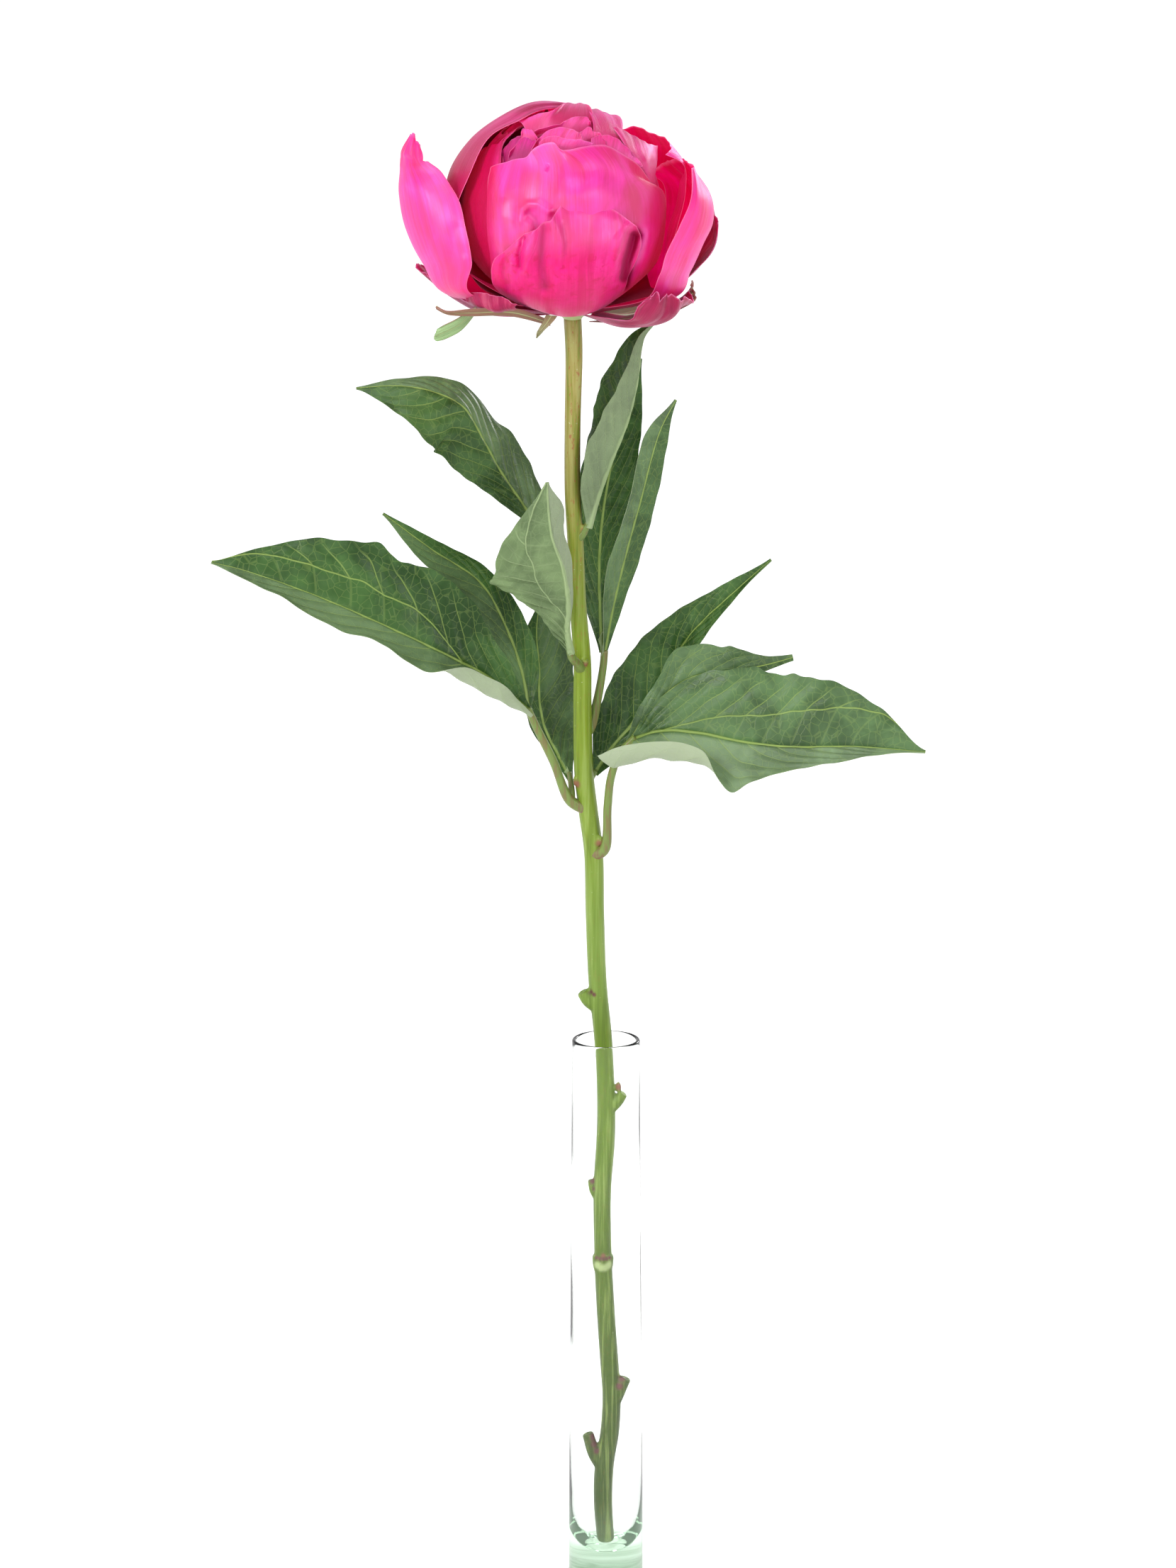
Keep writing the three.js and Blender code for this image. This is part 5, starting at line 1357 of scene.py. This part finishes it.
def turned_petal(petal, s, v):
    """The middle surface of a petal given by its bearing and its line in that upright plane, as [distance, height], or
    by its reach over the bud, in degrees from the bud's foot."""
    bearing = math.radians(petal["bearing"])
    out = np.array([math.cos(bearing), math.sin(bearing), 0])
    side = np.array([-out[1], out[0], 0])
    if "reach" in petal:
        # The petal starts 38 degrees up from the bud's foot, and its lift shrinks from 110 degrees on.
        polar = np.radians(np.linspace(38, petal["reach"], 7))
        sink = petal["lift"] * (1 - 0.6 * np.clip((np.degrees(polar) - 110) / 50, 0, 1))
        girth = 1 / math.hypot(out[0] / BUD_RADII[0], out[1] / BUD_RADII[1])
        across = (girth + sink) * np.sin(polar)
        height = BUD_CENTRE[2] - BUD_BASE[2] - (BUD_RADII[2] + sink) * np.cos(polar)
        base, line = BUD_BASE, [[5, 0, 1], *np.stack([across, 0 * across, height], 1)]
    else:
        base, line = BLOOM_BASE, [[distance, 0, height] for distance, height in petal["line"]]
    curve = Line(line)
    t = np.clip(v * margin_trim(petal, s), 0, 1)
    centre, tangent = (p[..., :1] * out + p[..., 2:] * [0, 0, 1] for p in (curve.at(t), curve.tangent(t)))
    cup = along(petal.get("cup", [30, 40, 42, 38]), t)
    angle = s * petal["half"] * along(petal.get("outline", PETAL_OUTLINE), t) / cup
    rise = cup * (1 - np.cos(angle)) - ruffle(petal, s, v)
    return centre + side * (cup * np.sin(angle))[..., None] + np.cross(tangent, side) * rise[..., None] + base


def petal_patch(petal, seed, materials=(0, 1, 1), cell=1.1 * CELL, thickness=PETAL_THICKNESS):
    """A petal as a closed sheet. Its data are its shares and seed, its lengths along the sheet, and its folds."""
    surface = lofted_petal if "rows" in petal else turned_petal
    coarse = surface(petal, *grid(1, 1, 0.1))
    s, v = grid(grid_steps(coarse, 1).sum(1).max(), grid_steps(coarse, 0).sum(0).max(), cell)
    points = surface(petal, s, v)
    push = crease_depth(points, petal.get("creases", ()))
    points = points - TOWARD * push[..., None]
    thick = thickness / 2 * (1 - 0.6 * np.maximum(np.abs(s), v) ** 10)
    across = np.pad(np.cumsum(grid_steps(points, 1), 1), ((0, 0), (1, 0)))
    upward = np.pad(np.cumsum(grid_steps(points, 0), 0), ((1, 0), (0, 0)))
    across = across - across[:, s.shape[1] // 2, None]
    fields = {
        "petal": np.stack([s, v, np.full(s.shape, float(seed))], -1),
        "flat": np.stack([across, upward, np.full(s.shape, 37.0 * seed)], -1),
        # How far the creases push the petal in, which its materials darken with painted shade
        "fold": smooth_step((push - 0.8) / 3),
    }
    return sheet_patch(points, thick, thick, list(materials), fields)


PETAL_FIELDS = [("petal", 3), ("flat", 3), ("fold", 1)]
HEART_LOOKS = ["crown", "violet", "deep", "core", "flank"]


def make_heart(looks):
    """The crown, the rounds of petals behind it, and the dark core that they are rooted in."""
    face, back, core = 0, HEART_LOOKS.index("deep"), HEART_LOOKS.index("core")
    patches = []
    for k, petal in enumerate(CROWN):
        materials = (HEART_LOOKS.index(petal["look"]), back, back)
        patches.append(petal_patch(dict(petal, wave=[0.35, 2, 1.3 * k]), 20 + k, materials))
    for k, (bearing, reach, lift, wide) in enumerate(ROUNDS):
        petal = dict(bearing=bearing, reach=reach, lift=lift, half=wide, wave=[0.6, 3, k], notch=0.04, round=0.2)
        patches.append(petal_patch(petal, 50 + k, (face, back, back), 1.6 * CELL))
    radius, half_height = BUD_RADII[0] - CORE_INSET, BUD_RADII[2] - 0.8 * CORE_INSET
    patches.append(ball_patch(BUD_CENTRE, radius, half_height, 80, 60, 17, 0.5, material=core, ribs=0.03))
    heart = make_mesh("bloom_heart_petals", patches, [looks[name] for name in HEART_LOOKS], PETAL_FIELDS)
    dress(heart, "petal_pink", "bloom_heart")


def make_calyx():
    patches = [tube_patch(STEM_TOP["line"], STEM_TOP["radii"], 40, 16)]
    for k, sepal in enumerate(SEPALS):
        shape = dict(sepal, free=True, outline=SEPAL_OUTLINE, cup=[12, 20, 20], round=0.1, wave=[0.4, 2, k])
        patches.append(petal_patch(shape, k + sepal["brown"], (0, 0, 0), 0.7 * CELL, LEAF_THICKNESS))
    dress(make_mesh("calyx_sepals", patches, [sepal_finish()], PETAL_FIELDS), "sepal_green", "calyx")


def make_bloom():
    looks = {name: petal_finish("petal_" + name, **look) for name, look in LOOKS.items()}
    for k, (name, petal) in enumerate(PETALS.items()):
        look = petal.get("look", "outer")
        inside = petal.get("inside", "crimson" if look == "low" else "inner" if petal.get("free") else "deep")
        patch = petal_patch(petal, k, cell=petal.get("fine", 1.1) * CELL)
        piece = make_mesh(name + "_fine", [patch], [looks[look], looks[inside]], PETAL_FIELDS)
        dress(piece, "petal_crimson" if look == "low" else "petal_pink", name)
    make_heart(looks)


# Stage: a pale floor, soft studio light and the photograph's view

FLOOR_WIDTH = 60
FLOOR_DROP = 0.0003
# The lamps, as name, place, size and power
LIGHTS = [
    ("left", (-1.9, -1.5, 1.5), 1.1, 40),
    ("right", (1.8, -1.6, 1.4), 0.9, 16),
    ("front", (-0.3, -4.3, 1.8), 2.0, 28),
    ("top", (-0.3, -0.5, 2.4), 1.2, 18),
    ("rear", (1.4, 1.9, 1.0), 0.8, 16),
]
LIGHT_TARGET = Vector((-0.01, 0, 0.42))
# The world's grey over its height, from 0 at the horizon to 1 overhead
SKY = [(0.16, (1, 1, 1, 1)), (0.6, (0.26, 0.26, 0.27, 1))]


def put(name, data, at, way):
    """A lamp or a camera that looks along a way."""
    holder = bpy.data.objects.new(name, data)
    holder.location = at
    holder.rotation_euler = way.to_track_quat("-Z", "Y").to_euler()
    bpy.context.scene.collection.objects.link(holder)
    return holder


def make_stage():
    bpy.ops.mesh.primitive_plane_add(size=FLOOR_WIDTH, location=(0, 0, -FLOOR_DROP))
    floor = bpy.context.object
    floor.name = "floor"
    floor.data.materials.append(floor_finish())

    world = bpy.data.worlds.new("studio")
    world.use_nodes = True
    tree = world.node_tree
    spot, parts, ramp = (tree.nodes.new("ShaderNode" + kind) for kind in ("TexCoord", "SeparateXYZ", "ValToRGB"))
    tree.links.new(spot.outputs["Generated"], parts.inputs[0])
    tree.links.new(parts.outputs[2], ramp.inputs[0])
    tree.links.new(ramp.outputs[0], tree.nodes["Background"].inputs["Color"])
    for stop, (position, grey) in zip(ramp.color_ramp.elements, SKY):
        stop.position = position
        stop.color = grey
    bpy.context.scene.world = world

    for name, at, size, power in LIGHTS:
        lamp = bpy.data.lights.new(name, "AREA")
        lamp.shape = "DISK"
        lamp.size = size
        lamp.energy = power
        put(name, lamp, at, LIGHT_TARGET - Vector(at))


def make_camera():
    data = bpy.data.cameras.new("camera")
    data.sensor_fit = "VERTICAL"
    data.sensor_height = SENSOR
    data.lens = SENSOR * VIEW_DISTANCE / VIEW_HEIGHT
    data.clip_end = 100
    bpy.context.scene.camera = put("camera", data, VIEW_PLACE, -VIEW_WAY)


make_camera()
make_stage()
make_vase()
make_stem()
make_leaves()
make_calyx()
make_bloom()
bpy.context.scene.view_settings.view_transform = "Standard"
